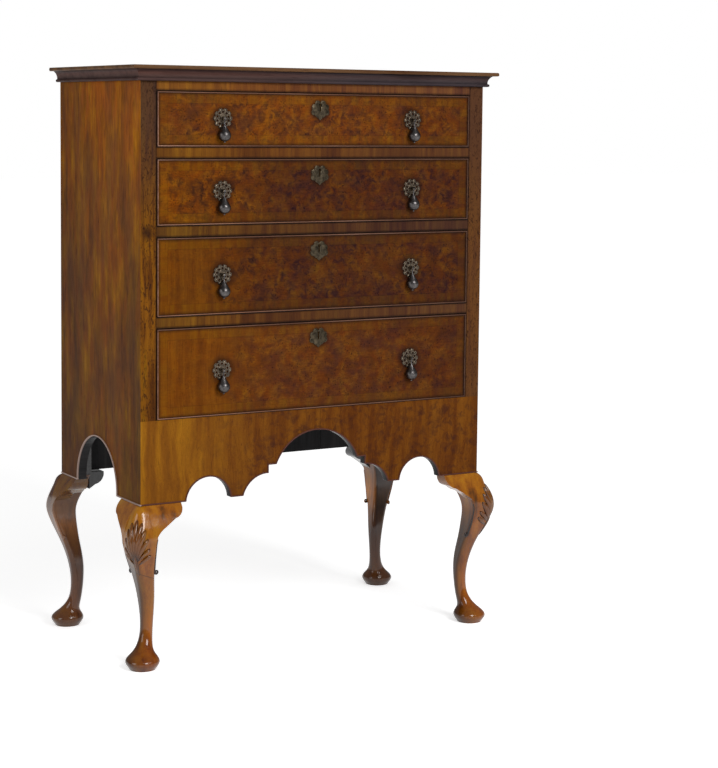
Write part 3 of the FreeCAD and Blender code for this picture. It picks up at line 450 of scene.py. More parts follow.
def leg_change(tree, place, colour):
    """Golden at the knee and darker down the leg, with painted shade on the left side of the shin and foot
    and painted light on their right front.
    """
    height = axes(tree, place)["Z"]
    colour = faded(tree, colour, height, 0.0, CASE_BOTTOM, [
        (0.0, (0.50, 0.48, 0.90)), (0.12, (0.68, 0.60, 0.50)), (0.28, (0.68, 0.62, 0.40)),
        (0.42, (0.60, 0.64, 0.75)), (0.55, (0.60, 0.66, 1.0)), (0.72, (0.86, 0.88, 0.75)),
        (0.9, (1.16, 1.26, 0.70))])
    # painted light and shade by the way each face of the shin and foot turns
    sided = faded(tree, colour, facing_light(tree), -1.0, 1.0, [
        (0.0, 0.30), (0.20, (0.46, 0.46, 0.60)), (0.40, 0.95), (0.60, (1.12, 1.06, 1.0)),
        (0.80, (1.50, 1.36, 1.0)), (1.0, 1.3)])
    return mix(tree, stretch(tree, *SHIN_SPAN, height), colour, sided)


def back_leg_change(tree, place, colour):
    """Darker down the shin and at the top, with painted shadow over the right leg, and painted light and
    shade on its knee by the way each face turns, darkest in front.
    """
    spot = axes(tree, place)
    colour = faded(tree, colour, spot["Z"], 0.0, CASE_BOTTOM, [
        (0.0, (0.52, 0.58, 1.1)), (0.10, (0.60, 0.60, 1.1)), (0.20, (0.52, 0.46, 0.6)),
        (0.40, (0.34, 0.32, 0.6)), (0.54, (0.62, 0.64, 1.0)), (0.67, (1.30, 1.30, 1.3)),
        (0.77, (0.85, 0.95, 1.3)), (0.88, (0.55, 0.58, 1.1))])
    # painted shadow over the right back leg, and its knee painted by the way its faces turn
    right = stretch(tree, -0.2, 0.2, spot["X"])
    knee = calc(tree, "MULTIPLY", right, stretch(tree, 0.14, 0.21, spot["Z"]))
    sided = faded(tree, colour, facing_light(tree), -1.0, 1.0, [
        (0.0, 2.2), (0.25, 1.6), (0.45, 0.7), (0.60, (0.18, 0.25, 0.7)), (0.80, (0.18, 0.25, 0.7)),
        (0.92, 0.7)])
    return mix(tree, knee, shade(tree, colour, calc(tree, "MULTIPLY_ADD", right, -0.25, 1.0)), sided)


def bracket_change(tree, place, colour):
    """As on the front legs, with their painted light and shade, and with painted shadow over the brackets at
    the back.
    """
    back = stretch(tree, -0.05, 0.05, axes(tree, place)["Y"])
    return shade(tree, leg_change(tree, place, colour), calc(tree, "MULTIPLY_ADD", back, -0.55, 1.0))


def grafted_change(tree, place, colour):
    """The left front leg, with an old joint round it under the knee."""
    spot = axes(tree, place)
    wave = calc(tree, "MULTIPLY", calc(tree, "SUBTRACT", spot["X"], OLD_JOINT[0]), OLD_JOINT_SLOPE)
    away = calc(tree, "ABSOLUTE", calc(tree, "SUBTRACT", calc(tree, "ADD", spot["Z"], wave), OLD_JOINT[1]))
    return dark_line_and_shade(tree, place, leg_change(tree, place, colour), away, 0.0014, 0.8)


def rail_edges(tree, place, colour):
    """Short lengths of banding of differing tone, painted light and shade from left to right and by height,
    and painted shadow under and over each drawer.
    """
    spot = axes(tree, place)
    height = spot["Z"]
    row = calc(tree, "FLOOR", calc(tree, "MULTIPLY_ADD", height, RAIL_ROWS, 0.13))
    lengths = put(tree, "CombineXYZ", {0: calc(tree, "MULTIPLY", spot["X"], 11.0),
                                       1: calc(tree, "MULTIPLY", row, 5.0)})
    cells = put(tree, "TexVoronoi", {"Vector": lengths.outputs[0], "Scale": 1.0})
    length = put(tree, "SeparateColor", {0: cells.outputs["Color"]}).outputs[0]
    dulled = mix(tree, 1.0, colour, (0.45, 0.40, 0.75), "MULTIPLY")
    colour = mix(tree, calc(tree, "MULTIPLY", length, 0.55), colour, dulled)
    # painted light at the left and painted shade towards the right
    colour = faded(tree, colour, spot["X"], -OPENING_HALF, OPENING_HALF, [
        (0.0, (0.55, 0.58, 0.80)), (0.05, (0.85, 0.95, 0.85)), (0.14, (0.80, 0.86, 0.85)),
        (0.26, (0.58, 0.57, 0.95)), (0.5, (0.54, 0.56, 1.25)), (0.71, (0.50, 0.54, 1.5)),
        (1.0, (0.45, 0.50, 1.7))])
    # painted light and shade by height
    colour = faded(tree, colour, height, *RAIL_SPAN, [
        (0.0, 0.75), (0.30, (0.88, 0.94, 1.1)), (0.56, (0.72, 0.80, 1.1)), (0.72, (0.76, 0.82, 1.0)),
        (0.80, 1.0), (0.98, (1.35, 1.35, 1.5))])
    # painted shadow in the gaps under and over each drawer, wider over it
    nearest = None
    for low, high in DRAWER_SPANS.values():
        for edge, depth in ((low - 0.001, 1.0), (high + 0.001, 0.55)):
            away = calc(tree, "MULTIPLY", calc(tree, "ABSOLUTE", calc(tree, "SUBTRACT", height, edge)), depth)
            nearest = away if nearest is None else calc(tree, "MINIMUM", nearest, away)
    return dark_line_and_shade(tree, place, colour, nearest, 0.0032, 0.9)


def burr_front(number, shift, gold_end, mottling, fade):
    """Burr inside a crossband for one drawer front, with a straight golden leaf at its left end."""
    low, high = DRAWER_SPANS[number]
    made, tree, shader, place = material(f"burr_front_{number}")
    spot = axes(tree, place)
    figure = use(tree, burr_group, {"Vector": laid(tree, place, shift=shift)})
    leaf, _ = grained(tree, place, UPRIGHT, [(0.25, BROWN), (0.45, RUSSET), (0.62, GOLD), (0.80, HONEY)],
                      55.0, 0.03, shift)
    burr = ramp(tree, figure["Ground"], [(0.26, BROWN), (0.42, RUSSET), (0.58, GOLD), (0.78, OLIVE)])
    rust = ramp(tree, figure["Ground"], [(0.26, BROWN), (0.50, RUST), (0.76, AMBER)])
    burr = mix(tree, stretch(tree, 0.40, 0.60, figure["Drift"]), burr, rust)
    burr = mix(tree, calc(tree, "MULTIPLY", figure["Cloud"], 0.68), burr, MULBERRY)
    burr = mix(tree, calc(tree, "MULTIPLY", figure["Mottle"], mottling), burr, PLUM)
    burr = mix(tree, calc(tree, "MULTIPLY", figure["Eye"], 0.85), burr, DEEP)
    burr = shade(tree, burr, calc(tree, "ADD", swing(tree, figure["Curl"], 1.0), 1.0))
    drawn = laid(tree, place, (3, 1, 0.8), shift)
    thread = use(tree, grain_group, {"Vector": drawn, "Wander": 0.02})["Fibre"]
    burr = shade(tree, burr, calc(tree, "ADD", swing(tree, thread, 0.9), 1.0))
    golden = calc(tree, "MULTIPLY", stretch(tree, gold_end + 0.06, gold_end - 0.06, spot["X"]), 0.6)
    colour = mix(tree, golden, burr, leaf)
    band = use(tree, banding_group, {"Vector": place, "Low": low + COCK_BEAD, "High": high - COCK_BEAD})
    tones = [(0.22, BROWN), (0.42, RUSSET), (0.62, OLIVE), (0.85, HONEY)]
    across, _ = grained(tree, place, UPRIGHT, tones, 60.0, shift=shift, broad=0.3)
    along, _ = grained(tree, place, LEVEL, tones, 60.0, shift=shift, broad=0.3)
    stripe = mix(tree, band["Upright"], along, across)
    colour = mix(tree, calc(tree, "MULTIPLY", band["Band"], 0.35), colour, stripe)
    # tints from left to right: partly the veneer's own tone, partly painted light at the left and painted
    # shade to the right
    colour = faded(tree, colour, spot["X"], -FIELD_HALF, FIELD_HALF, fade)
    line = calc(tree, "ABSOLUTE", calc(tree, "SUBTRACT", band["Inset"], BAND_WIDTH))
    colour = dark_line_and_shade(tree, place, colour, line, 0.0012, 0.25)
    colour = dark_line_and_shade(tree, place, colour, band["Inset"], 0.007, 0.6)
    aside = calc(tree, "ABSOLUTE", spot["X"])
    rose = apart(tree, aside, HANDLE_X, spot["Z"], HANDLE_HEIGHTS[number])
    plate = apart(tree, aside, 0.0, spot["Z"], KEY_HEIGHTS[number])
    grime = calc(tree, "MAXIMUM", stretch(tree, 0.036, 0.020, rose), stretch(tree, 0.030, 0.018, plate))
    colour = mix(tree, calc(tree, "MULTIPLY", grime, 0.72), colour, NEAR_BLACK)
    ground, _ = grained(tree, place, LEVEL, OAK_TONES, 40.0)
    colour = mix(tree, outer_front(tree, spot), ground, colour)
    rough = calc(tree, "ADD", swing(tree, figure["Curl"], 0.14), 0.34)
    waxed(tree, shader, colour, rough, figure["Curl"], 0.02, 0.08)
    return made


RAIL_TONES = [(0.20, BROWN), (0.42, RUSSET), (0.62, GOLD), (0.90, OLIVE)]
APRON_TONES = [(0.15, BROWN), (0.42, RUSSET), (0.62, GOLD), (0.90, HONEY)]
LEG_TONES = [(0.20, DARK), (0.36, RUST), (0.52, AMBER), (0.78, HONEY)]
BACK_LEG_TONES = [(0.20, DARK), (0.36, BROWN), (0.54, (0.210, 0.072, 0.014)), (0.80, GOLD)]
SCROLL_TONES = [(0.30, NEAR_BLACK), (0.50, DEEP), (0.75, DARK)]
CORNICE_TONES = [(0.30, (0.55, 0.50, 0.50)), (0.52, (0.85, 0.80, 0.80)), (0.75, (1, 1, 1))]
TOP_TONES = [(0.25, DARK), (0.45, (0.098, 0.048, 0.022)), (0.60, (0.150, 0.074, 0.031)),
             (0.78, (0.235, 0.120, 0.046))]
BEAD_TONES = [(0.30, (0.140, 0.060, 0.034)), (0.50, (0.230, 0.112, 0.068)), (0.72, (0.340, 0.180, 0.120))]
BEAD_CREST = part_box("cock_beads_1")[0].y
LEG_FINISH = {"gloss": 0.11, "specular": 0.40, "wander": 0.03, "broad": 0.8}


def carved_wood():
    """The carving on the knees, dark in its hollows."""
    made, tree, shader, place = material("carved_walnut")
    colour, figure = grained(tree, place, UPRIGHT, LEG_TONES, 45.0)
    height = put(tree, "Attribute", attribute_name="carved_height").outputs["Fac"]
    colour = mix(tree, stretch(tree, 0.0, 1.0, height), DEEP, shade(tree, colour, 0.55))
    finish_grained(tree, shader, colour, figure, 0.15, 0.5)
    return made


def cornice_wood():
    """The cornice, with painted light and shade along its height: lighter in its cove, painted shade in the
    fillet and darkest under the top; and painted light towards the left, redder there.
    """
    made, tree, shader, place = material("cornice_walnut")
    spot = axes(tree, place)
    colour, figure = grained(tree, place, LEVEL, CORNICE_TONES, 60.0)
    # painted light and shade by height
    colour = faded(tree, colour, spot["Z"], *CORNICE_SPAN, [
        (0.0, (0.060, 0.044, 0.044)), (0.20, (0.066, 0.047, 0.047)), (0.28, (0.050, 0.037, 0.036)),
        (0.36, (0.056, 0.040, 0.039)), (0.46, (0.070, 0.048, 0.045)), (0.70, (0.090, 0.053, 0.047)),
        (0.90, (0.070, 0.048, 0.047)), (1.0, (0.026, 0.022, 0.025))])
    # painted light towards the left
    colour = faded(tree, colour, spot["X"], -CASE_HALF, CASE_HALF, [
        (0.0, (1.25, 1.05, 0.95)), (0.30, (1.12, 1.0, 0.95)), (0.60, (0.82, 0.90, 1.0)),
        (1.0, (0.78, 0.88, 0.98))])
    finish_grained(tree, shader, colour, figure, 0.30, 0.012)
    return made


side_walnut, stile_walnut = [
    faced_wood(name, UPRIGHT, STILE_TONES, 95.0, outer_front, stile_edges, specular=0.012, sided=True,
               wander=0.03, broad=0.35) for name in ("side_walnut", "stile_walnut")]
rail_walnut = faced_wood("rail_walnut", UPRIGHT, RAIL_TONES, 70.0, outer_front, rail_edges, broad=0.3)
apron_walnut = faced_wood("apron_walnut", UPRIGHT, APRON_TONES, 50.0, outer_front, apron_change,
                          specular=0.012, sided=True, wander=0.05, broad=0.5)
leg_walnut = faced_wood("leg_walnut", UPRIGHT, LEG_TONES, 45.0, below_case, leg_change, **LEG_FINISH)
grafted_leg = faced_wood("grafted_leg", UPRIGHT, LEG_TONES, 45.0, below_case, grafted_change, **LEG_FINISH)
carved_walnut = carved_wood()
back_leg_walnut = faced_wood("back_leg_walnut", UPRIGHT, BACK_LEG_TONES, 45.0, below_case, back_leg_change,
                             **LEG_FINISH)
bracket_walnut = faced_wood("bracket_walnut", UPRIGHT, LEG_TONES, 45.0, outer_corners, bracket_change,
                            **LEG_FINISH)
scroll_walnut = plain_wood("scroll_walnut", UPRIGHT, SCROLL_TONES, 45.0, 0.16, 0.4)
cornice_walnut = cornice_wood()
top_walnut = plain_wood("top_walnut", LEVEL, TOP_TONES, 40.0)


def painted_bead_highlight(tree, place):
    """Painted highlight on the crest of the cock beads, brightest at the left, and painted shade to the right
    and over each drawer.
    """
    spot = axes(tree, place)
    crest = stretch(tree, BEAD_CREST + 0.0005, BEAD_CREST + 0.0001, spot["Y"])
    # painted shade growing to the right, and on the beads over each drawer
    dull = stretch(tree, COCK_BEAD - OPENING_HALF, OPENING_HALF, spot["X"])
    for _, high in DRAWER_SPANS.values():
        over = calc(tree, "MULTIPLY", calc(tree, "COMPARE", spot["Z"], high, 0.005), 0.6)
        dull = calc(tree, "MAXIMUM", dull, over)
    return calc(tree, "MULTIPLY", crest, calc(tree, "MULTIPLY_ADD", dull, -0.70, 1.0))


def edge_beading():
    """Beads under the apron and the sides: stained within, red-brown in front, with a painted highlight along
    the sides.
    """
    made, tree, shader, place = material("edge_bead_walnut")
    spot = axes(tree, place)
    colour, figure = grained(tree, place, LEVEL, STAINED_TONES, 60.0)
    ahead = stretch(tree, CASE_FRONT + 0.0016, CASE_FRONT + 0.0006, spot["Y"])
    # painted highlight: the beads along the sides pale
    aside = stretch(tree, CASE_HALF - 0.0016, CASE_HALF - 0.0006, calc(tree, "ABSOLUTE", spot["X"]))
    colour = mix(tree, aside, mix(tree, ahead, colour, (0.095, 0.036, 0.026)), (0.400, 0.290, 0.250))
    finish_grained(tree, shader, colour, figure, 0.25, 0.03)
    return made


def cock_beading():
    """Beads round the drawers, with painted shade on their flanks and the painted highlight on their crest.
    """
    made, tree, shader, place = material("cock_bead_walnut")
    colour, figure = grained(tree, place, LEVEL, BEAD_TONES, 60.0)
    finish_grained(tree, shader, mix(tree, painted_bead_highlight(tree, place), DEEP, colour), figure, 0.25, 0.1)
    return made


cock_bead_walnut = cock_beading()
edge_bead_walnut = edge_beading()
lining_oak = plain_wood("lining_oak", INWARD, OAK_TONES, 40.0, 0.6)
back_oak = plain_wood("back_oak", LEVEL, OAK_TONES, 40.0, 0.6)
carcase_pine = plain_wood("carcase_pine", UPRIGHT, PINE_TONES, 30.0, 0.65)
stained_pine = plain_wood("stained_pine", UPRIGHT, STAINED_TONES, 30.0, 0.6)
back_pine = faced_wood("back_pine", UPRIGHT, PINE_TONES, 30.0, outer_back, gloss=0.65)


# Tarnish on the metals
def make_tarnish():
    tree, takes, gives = new_group("tarnish", [("Vector", VECTOR, None)], ["Cloud", "Speck"])
    tree.links.new(noise(tree, takes["Vector"], 130.0, 5.0, 0.65, 0.8), gives["Cloud"])
    tree.links.new(stretch(tree, 0.60, 0.72, noise(tree, takes["Vector"], 700.0, 2.0)), gives["Speck"])
    return tree


tarnish_group = make_tarnish()


def aged_metal(name, dull, bright, rough):
    made, tree, shader, place = material(name)
    tarnish = use(tree, tarnish_group, {"Vector": place})
    colour = ramp(tree, tarnish["Cloud"], [(0.36, dull), (0.64, bright)])
    colour = shade(tree, colour, calc(tree, "MULTIPLY_ADD", tarnish["Speck"], -0.5, 1.0))
    tree.links.new(colour, shader.inputs["Base Color"])
    tree.links.new(calc(tree, "ADD", swing(tree, tarnish["Cloud"], -0.25), rough), shader.inputs["Roughness"])
    shader.inputs["Metallic"].default_value = 1.0
    bump = put(tree, "Bump", {"Height": tarnish["Cloud"], "Strength": 0.12, "Distance": 0.0005})
    tree.links.new(bump.outputs[0], shader.inputs["Normal"])
    return made


aged_brass = aged_metal("aged_brass", (0.046, 0.038, 0.031), (0.180, 0.140, 0.100), 0.32)
plate_brass = aged_metal("plate_brass", (0.021, 0.017, 0.012), (0.084, 0.066, 0.042), 0.42)
dark_brass = aged_metal("dark_brass", (0.052, 0.048, 0.048), (0.125, 0.116, 0.114), 0.36)
lock_brass = aged_metal("lock_brass", (0.22, 0.15, 0.07), (0.45, 0.33, 0.15), 0.40)
bolt_steel = aged_metal("bolt_steel", (0.25, 0.24, 0.23), (0.45, 0.44, 0.42), 0.35)

FINISHES = {"top_board": top_walnut, "cornice_moulding": cornice_walnut, "side_left": side_walnut,
            "side_right": side_walnut, "back_boards": back_pine, "drawer_rails": rail_walnut,
            "front_stiles": stile_walnut, "drawer_runners": carcase_pine, "bottom_board": stained_pine,
            "front_apron": apron_walnut, "edge_beads": edge_bead_walnut, "knee_brackets": bracket_walnut,
            "leg_front_left": grafted_leg, "leg_front_right": leg_walnut, "leg_back_left": back_leg_walnut,
            "leg_back_right": back_leg_walnut}
# Each drawer's cut of burr, end of its golden leaf, mottling, and tints from left to right (partly the
# veneer's own tone, partly painted light and shade)
BURR_LEAVES = {
    1: ((0.4, 0, 0.2), -0.45, 0.90, [
        (0.0, (0.72, 0.66, 0.65)), (0.30, (0.86, 0.80, 0.65)), (0.6, (0.72, 0.66, 0.75)),
        (1.0, (0.56, 0.52, 0.70))]),
    2: ((1.7, 0, 0.9), -0.45, 0.92, [
        (0.0, (0.88, 0.80, 0.42)), (0.20, (0.70, 0.63, 0.50)), (0.36, (0.42, 0.40, 0.72)),
        (1.0, (0.46, 0.43, 0.75))]),
    3: ((2.9, 0, 1.3), -0.24, 0.85, [
        (0.0, (0.74, 0.67, 0.40)), (0.20, (0.56, 0.51, 0.52)), (0.4, (0.41, 0.41, 0.78)),
        (1.0, (0.41, 0.39, 0.75))]),
    4: ((4.3, 0, 2.1), -0.20, 0.50, [
        (0.0, (0.80, 0.72, 0.45)), (0.20, (0.70, 0.63, 0.58)), (0.4, (0.61, 0.58, 0.82)),
        (1.0, (0.45, 0.42, 0.75))])}
for number, (shift, gold_end, mottling, fade) in BURR_LEAVES.items():
    FINISHES[f"drawer_front_{number}"] = burr_front(number, shift, gold_end, mottling, fade)
    FINISHES[f"drawer_back_{number}"] = back_oak
    for piece in ("sides", "bottom"):
        FINISHES[f"drawer_{piece}_{number}"] = lining_oak
    FINISHES[f"cock_beads_{number}"] = cock_bead_walnut
    FINISHES[f"lock_{number}"] = lock_brass
    FINISHES[f"lock_bolt_{number}"] = bolt_steel
    FINISHES[f"escutcheon_{number}"] = plate_brass
    FINISHES[f"handle_mounts_{number}"] = aged_brass
    for hand in ("left", "right"):
        FINISHES[f"drop_{number}_{hand}"] = dark_brass
for name, finish in FINISHES.items():
    slots = nodes[name].data.materials
    slots.clear()
    slots.append(finish)


# Modelling helpers
def pick(*pieces):
    """Select these pieces alone, with the first one active."""
    bpy.ops.object.select_all(action="DESELECT")
    for piece in pieces:
        piece.select_set(True)
    bpy.context.view_layer.objects.active = pieces[0]


def settle(piece, place):
    """Set a piece in its place and carry that into its mesh."""
    piece.matrix_world = place
    pick(piece)
    bpy.ops.object.transform_apply(location=True, rotation=True, scale=True)
    return piece


def join(name, pieces):
    pick(*pieces)
    bpy.ops.object.join()
    pieces[0].name = name
    pieces[0].data.name = name
    return pieces[0]


def work(piece, kind, **settings):
    """Add a modifier and apply it."""
    pick(piece)
    step = piece.modifiers.new(kind.lower(), kind)
    for name, setting in settings.items():
        setattr(step, name, setting)
    bpy.ops.object.modifier_apply(modifier=step.name)
    return piece


def twin(piece, name, place, turned_over=False):
    """A copy of a piece with its own mesh, laid through a matrix."""
    copy = bpy.data.objects.new(name, piece.data.copy())
    scene.collection.objects.link(copy)
    copy.data.name = name
    copy.data.transform(place)
    if turned_over:
        copy.data.flip_normals()
    return copy


def dress(piece, finish, body, smooth=50):
    """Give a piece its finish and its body."""
    piece.data.materials.clear()
    piece.data.materials.append(finish)
    pick(piece)
    bpy.ops.object.shade_smooth_by_angle(angle=math.radians(smooth))
    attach(piece, body)


def softened(name, body, width, segments=2):
    """A copy of a solid with its sharp edges rounded, shown in its place."""
    source = nodes[name]
    piece = twin(source, f"{name}_softened", source.matrix_world)
    pick(piece)
    bpy.ops.object.mode_set(mode="EDIT")
    bpy.ops.mesh.select_all(action="SELECT")
    bpy.ops.mesh.remove_doubles(threshold=0.000002)
    bpy.ops.mesh.dissolve_limited(angle_limit=math.radians(0.5))
    bpy.ops.mesh.normals_make_consistent(inside=False)
    bpy.ops.object.mode_set(mode="OBJECT")
    work(piece, "BEVEL", width=width, segments=segments, limit_method="ANGLE", angle_limit=math.radians(40))
    dress(piece, FINISHES[name], body)
    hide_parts(name)


for number in DRAWER_SPANS:
    softened(f"escutcheon_{number}", f"drawer_{number}", 0.0005)
    for hand in ("left", "right"):
        softened(f"drop_{number}_{hand}", f"drop_{number}_{hand}", 0.0012, 3)
softened("edge_beads", "carcase", 0.0010, 3)

# Carved shell on the knee of each front leg, drawn flat and laid over the corner
OUTWARD = Vector((-1, -1, 0)).normalized()
SIDEWAYS = Vector((1, -1, 0)).normalized()
LEG_CENTRES = [(0.21, 0.0136), (0.255, 0.0025), (0.29, -0.0025), (0.322, 0.004)]
SHELL_ROOT = 0.252
RIB_TIPS = [(0.0, 0.345), (0.0115, 0.339), (0.0200, 0.324), (0.0260, 0.304), (0.0290, 0.281)]
RIB_WIDTHS = [0.0092, 0.0090, 0.0086, 0.0080, 0.0070]
RIB_RISE = 0.0052
HOLLOW_RISE, HOLLOW_SPAN = 0.0004, 0.0032
ROOT_SPREAD = 0.12
RAY_START = 0.12
# Foot, tip, width, rise and taper of the stem and of the leaf at each side
STEM = ((0, 0.216), (0, 0.268), 0.0070, 0.0036, 0.6)
LEAF = ((0.0050, 0.244), (0.0285, 0.266), 0.0066, 0.0042, 0.9)


def surface_of(name):
    mesh = nodes[name].data
    return BVHTree.FromPolygons([nodes[name].matrix_world @ vertex.co for vertex in mesh.vertices],
                                [list(face.vertices) for face in mesh.polygons])


def leg_centre(height):
    """Centre of the left front leg at a height."""
    for (low, first), (high, second) in zip(LEG_CENTRES, LEG_CENTRES[1:]):
        if height <= high:
            break
    inset = first + (second - first) * (height - low) / (high - low)
    return Vector((inset - CASE_HALF, inset + CASE_FRONT, height))


def rib(root, tip, width, rise, taper=1.25):
    """One rib: a ball drawn out between two points of the flat drawing, slim at its root."""
    reach = Vector((tip[0] - root[0], 0, tip[1] - root[1]))
    bpy.ops.mesh.primitive_uv_sphere_add(segments=16, ring_count=24, radius=0.5)
    piece = bpy.context.object
    settle(piece, Matrix.Diagonal((width, 2 * rise, reach.length, 1)))
    work(piece, "SIMPLE_DEFORM", deform_method="TAPER", deform_axis="Z", factor=taper)
    lean = Matrix.Rotation(math.atan2(reach.x, reach.z), 4, "Y")
    middle = Vector((root[0] + tip[0], 0, root[1] + tip[1])) / 2
    return settle(piece, Matrix.Translation(middle) @ lean)


def wrapped(piece, surface):
    """Lay a flat drawing over the corner of the knee, and keep each point's height above the leg."""
    heights = piece.data.attributes.new("carved_height", "FLOAT", "POINT")
    for entry, vertex in zip(heights.data, piece.data.vertices):
        aside, rise, height = vertex.co.x, -vertex.co.y, vertex.co.z
        start = leg_centre(height) + SIDEWAYS * aside + OUTWARD * RAY_START
        spot, normal, _, _ = surface.ray_cast(start, -OUTWARD)
        vertex.co = spot + (normal + OUTWARD).normalized() * rise
        entry.value = (rise - HOLLOW_RISE) / HOLLOW_SPAN
    return piece


knee = surface_of("leg_front_left")
ribs = []
for (aside, height), width in zip(RIB_TIPS, RIB_WIDTHS):
    for hand in ((1, -1) if aside else (1,)):
        ribs.append(rib((hand * aside * ROOT_SPREAD, SHELL_ROOT), (hand * aside, height), width, RIB_RISE))
ribs.append(rib(*STEM))
for hand in (1, -1):
    (foot_x, foot_z), (tip_x, tip_z), *leaf_sizes = LEAF
    ribs.append(rib((hand * foot_x, foot_z), (hand * tip_x, tip_z), *leaf_sizes))
shell = wrapped(join("knee_shell_left", ribs), knee)
other_shell = twin(shell, "knee_shell_right", Matrix.Scale(-1, 4, (1, 0, 0)), True)
for piece in (shell, other_shell):
    dress(piece, carved_walnut, "carcase", 60)

# Scrolls down the two side corners of each leg, each ending in a curl
SCROLL_TOP, SCROLL_FOOT, CURL_RADIUS = 0.300, 0.2215, 0.0046
SCROLL_STEPS, CURL_STEPS = 12, 24
SCROLL_SLIM, SCROLL_FULL = 0.0012, 0.0024
CURL_DRAW, CURL_THIN = 0.00013, 0.00003
path = []
for step in range(SCROLL_STEPS + 1):
    height = SCROLL_TOP + (SCROLL_FOOT - SCROLL_TOP) * step / SCROLL_STEPS
    spot, _, _, _ = knee.ray_cast(leg_centre(height) + SIDEWAYS * RAY_START, -SIDEWAYS)
    path.append((spot, SCROLL_SLIM + SCROLL_SLIM * step / SCROLL_STEPS))
eye = path[-1][0] + Vector((CURL_RADIUS, 0, 0))
for step in range(1, CURL_STEPS + 1):
    turn = math.pi + step * math.pi / 9
    radius = CURL_RADIUS - step * CURL_DRAW
    out = Vector((math.cos(turn), 0, math.sin(turn)))
    path.append((eye + out * radius, SCROLL_FULL - step * CURL_THIN))
curve = bpy.data.curves.new("scroll", "CURVE")
curve.dimensions = "3D"
curve.bevel_depth = 1.0
curve.bevel_resolution = 3
curve.use_fill_caps = True
spline = curve.splines.new("POLY")
spline.points.add(len(path) - 1)
for point, (spot, radius) in zip(spline.points, path):
    point.co = (*spot, 1)
    point.radius = radius
scroll = bpy.data.objects.new("scroll", curve)
scene.collection.objects.link(scroll)
pick(scroll)
bpy.ops.object.convert(target="MESH")
scroll = bpy.context.object
gap = CASE_HALF + CASE_FRONT
over_corner = Matrix(((0, 1, 0, -gap), (1, 0, 0, gap), (0, 0, 1, 0), (0, 0, 0, 1)))
scroll = join("scrolls_front_left", [scroll, twin(scroll, "scroll_beside", over_corner, True)])
to_right, to_back = Matrix.Scale(-1, 4, (1, 0, 0)), Matrix.Scale(-1, 4, (0, 1, 0))
scrolls = {"front_left": scroll, "front_right": twin(scroll, "scrolls_front_right", to_right, True),
           "back_left": twin(scroll, "scrolls_back_left", to_back, True),
           "back_right": twin(scroll, "scrolls_back_right", to_right @ to_back)}
for corner, piece in scrolls.items():
    dress(piece, scroll_walnut if "front" in corner else back_leg_walnut, "carcase", 60)

# Raised petals and ring on each rose, modelled once
ROSE_FACE = CASE_FRONT - 0.002
ROSE_LOBES = 10
RING_RADIUS, RING_THICKNESS = 0.0100, 0.0011
# Reach, length, width and rise of the outer and inner petals
PETALS = ((0.0190, 0.0066, 0.0058, 0.0013), (0.0134, 0.0030, 0.0024, 0.0009))
facing = Matrix.Rotation(math.pi / 2, 4, "X")
bpy.ops.mesh.primitive_torus_add(major_segments=40, minor_segments=10, major_radius=RING_RADIUS,
                                 minor_radius=RING_THICKNESS)
relief = [settle(bpy.context.object, facing)]
for lobe in range(ROSE_LOBES):
    angle = (lobe + 0.5) * 2 * math.pi / ROSE_LOBES
    turn = Matrix.Rotation(angle, 4, "Y")
    for reach, long, wide, rise in PETALS:
        bpy.ops.mesh.primitive_uv_sphere_add(segments=14, ring_count=10, radius=0.5)
        shape = Matrix.Translation((0, 0, reach)) @ Matrix.Diagonal((wide, 2 * rise, long, 1))
        relief.append(settle(bpy.context.object, turn @ shape))
petals = join("rose_petals", relief)
for number, height in HANDLE_HEIGHTS.items():
    for hand, side in (("left", -HANDLE_X), ("right", HANDLE_X)):
        piece = twin(petals, f"rose_petals_{number}_{hand}", Matrix.Translation((side, ROSE_FACE, height)))
        dress(piece, aged_brass, f"drawer_{number}", 60)
bpy.data.objects.remove(petals)

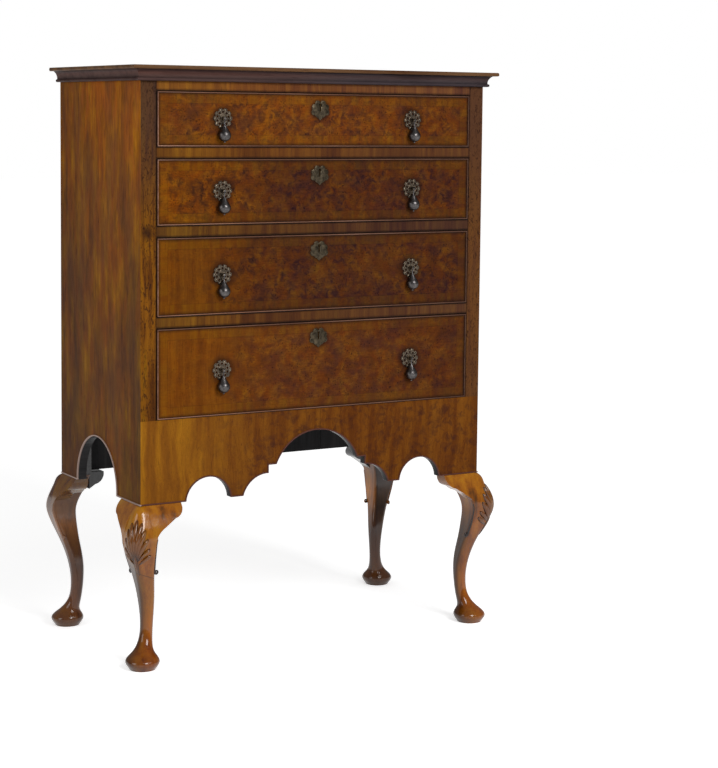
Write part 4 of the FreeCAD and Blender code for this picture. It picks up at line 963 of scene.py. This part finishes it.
# Floor, lifted to white for the eye and kept dull enough near the chest to show its shadow
bpy.ops.mesh.primitive_plane_add(size=60)
floor = bpy.context.object
floor.name = "floor"
pale, tree, shader, place = material("pale_floor")
shader.inputs["Base Color"].default_value = (0.86, 0.86, 0.86, 1)
shader.inputs["Roughness"].default_value = 0.9
shader.inputs["Specular IOR Level"].default_value = 0.0
shader.inputs["Emission Color"].default_value = (1, 1, 1, 1)
rays = put(tree, "LightPath").outputs
seen = calc(tree, "MAXIMUM", rays["Is Camera Ray"], rays["Is Glossy Ray"])
away = put(tree, "VectorMath", {0: place}, operation="LENGTH").outputs["Value"]
lift = put(tree, "MapRange", {"Value": away, "From Min": 1.0, "From Max": 4.5,
                              "To Min": 0.58, "To Max": 0.66}, clamp=True).outputs[0]
tree.links.new(calc(tree, "MULTIPLY", seen, lift), shader.inputs["Emission Strength"])
floor.data.materials.append(pale)

# World: white to the eye, softer as light
world = bpy.data.worlds.new("studio")
scene.world = world
world.use_nodes = True
tree = world.node_tree
rays = put(tree, "LightPath").outputs
shown = calc(tree, "MAXIMUM", rays["Is Camera Ray"], rays["Is Transmission Ray"])
tree.nodes["Background"].inputs["Color"].default_value = (1, 1, 1, 1)
light = calc(tree, "MULTIPLY_ADD", rays["Is Glossy Ray"], -0.18, 0.40)
tree.links.new(calc(tree, "MAXIMUM", light, shown), tree.nodes["Background"].inputs["Strength"])


# Lamps
def lamp(name, spot, aim, size, power):
    bpy.ops.object.light_add(type="AREA", location=spot)
    item = bpy.context.object
    item.name = name
    item.data.size = size
    item.data.energy = power
    item.rotation_euler = (Vector(aim) - Vector(spot)).to_track_quat("-Z", "Y").to_euler()


lamp("key_lamp", (0.4, -4.2, 3.0), (0, 0, 0.7), 1.8, 150)
lamp("side_lamp", (-4.5, -0.5, 1.8), (0, 0, 0.7), 2.0, 45)

# Camera
CAMERA_PLACE = (-2.2198, -4.1483, 1.2421)
yaw, pitch, roll = math.radians(30.722), math.radians(5.240), math.radians(0.597)
forward = Vector((math.sin(yaw) * math.cos(pitch), math.cos(yaw) * math.cos(pitch), -math.sin(pitch)))
level = Vector((math.cos(yaw), -math.sin(yaw), 0))
upward = level.cross(forward)
across = level * math.cos(roll) + upward * math.sin(roll)
over = upward * math.cos(roll) - level * math.sin(roll)
bpy.ops.object.camera_add()
camera = bpy.context.object
camera.matrix_world = Matrix.Translation(CAMERA_PLACE) @ Matrix(
    (across, over, -forward)).transposed().to_4x4()
camera.data.lens = 91.53
camera.data.sensor_width = 36
camera.data.shift_y = -0.1172
scene.camera = camera
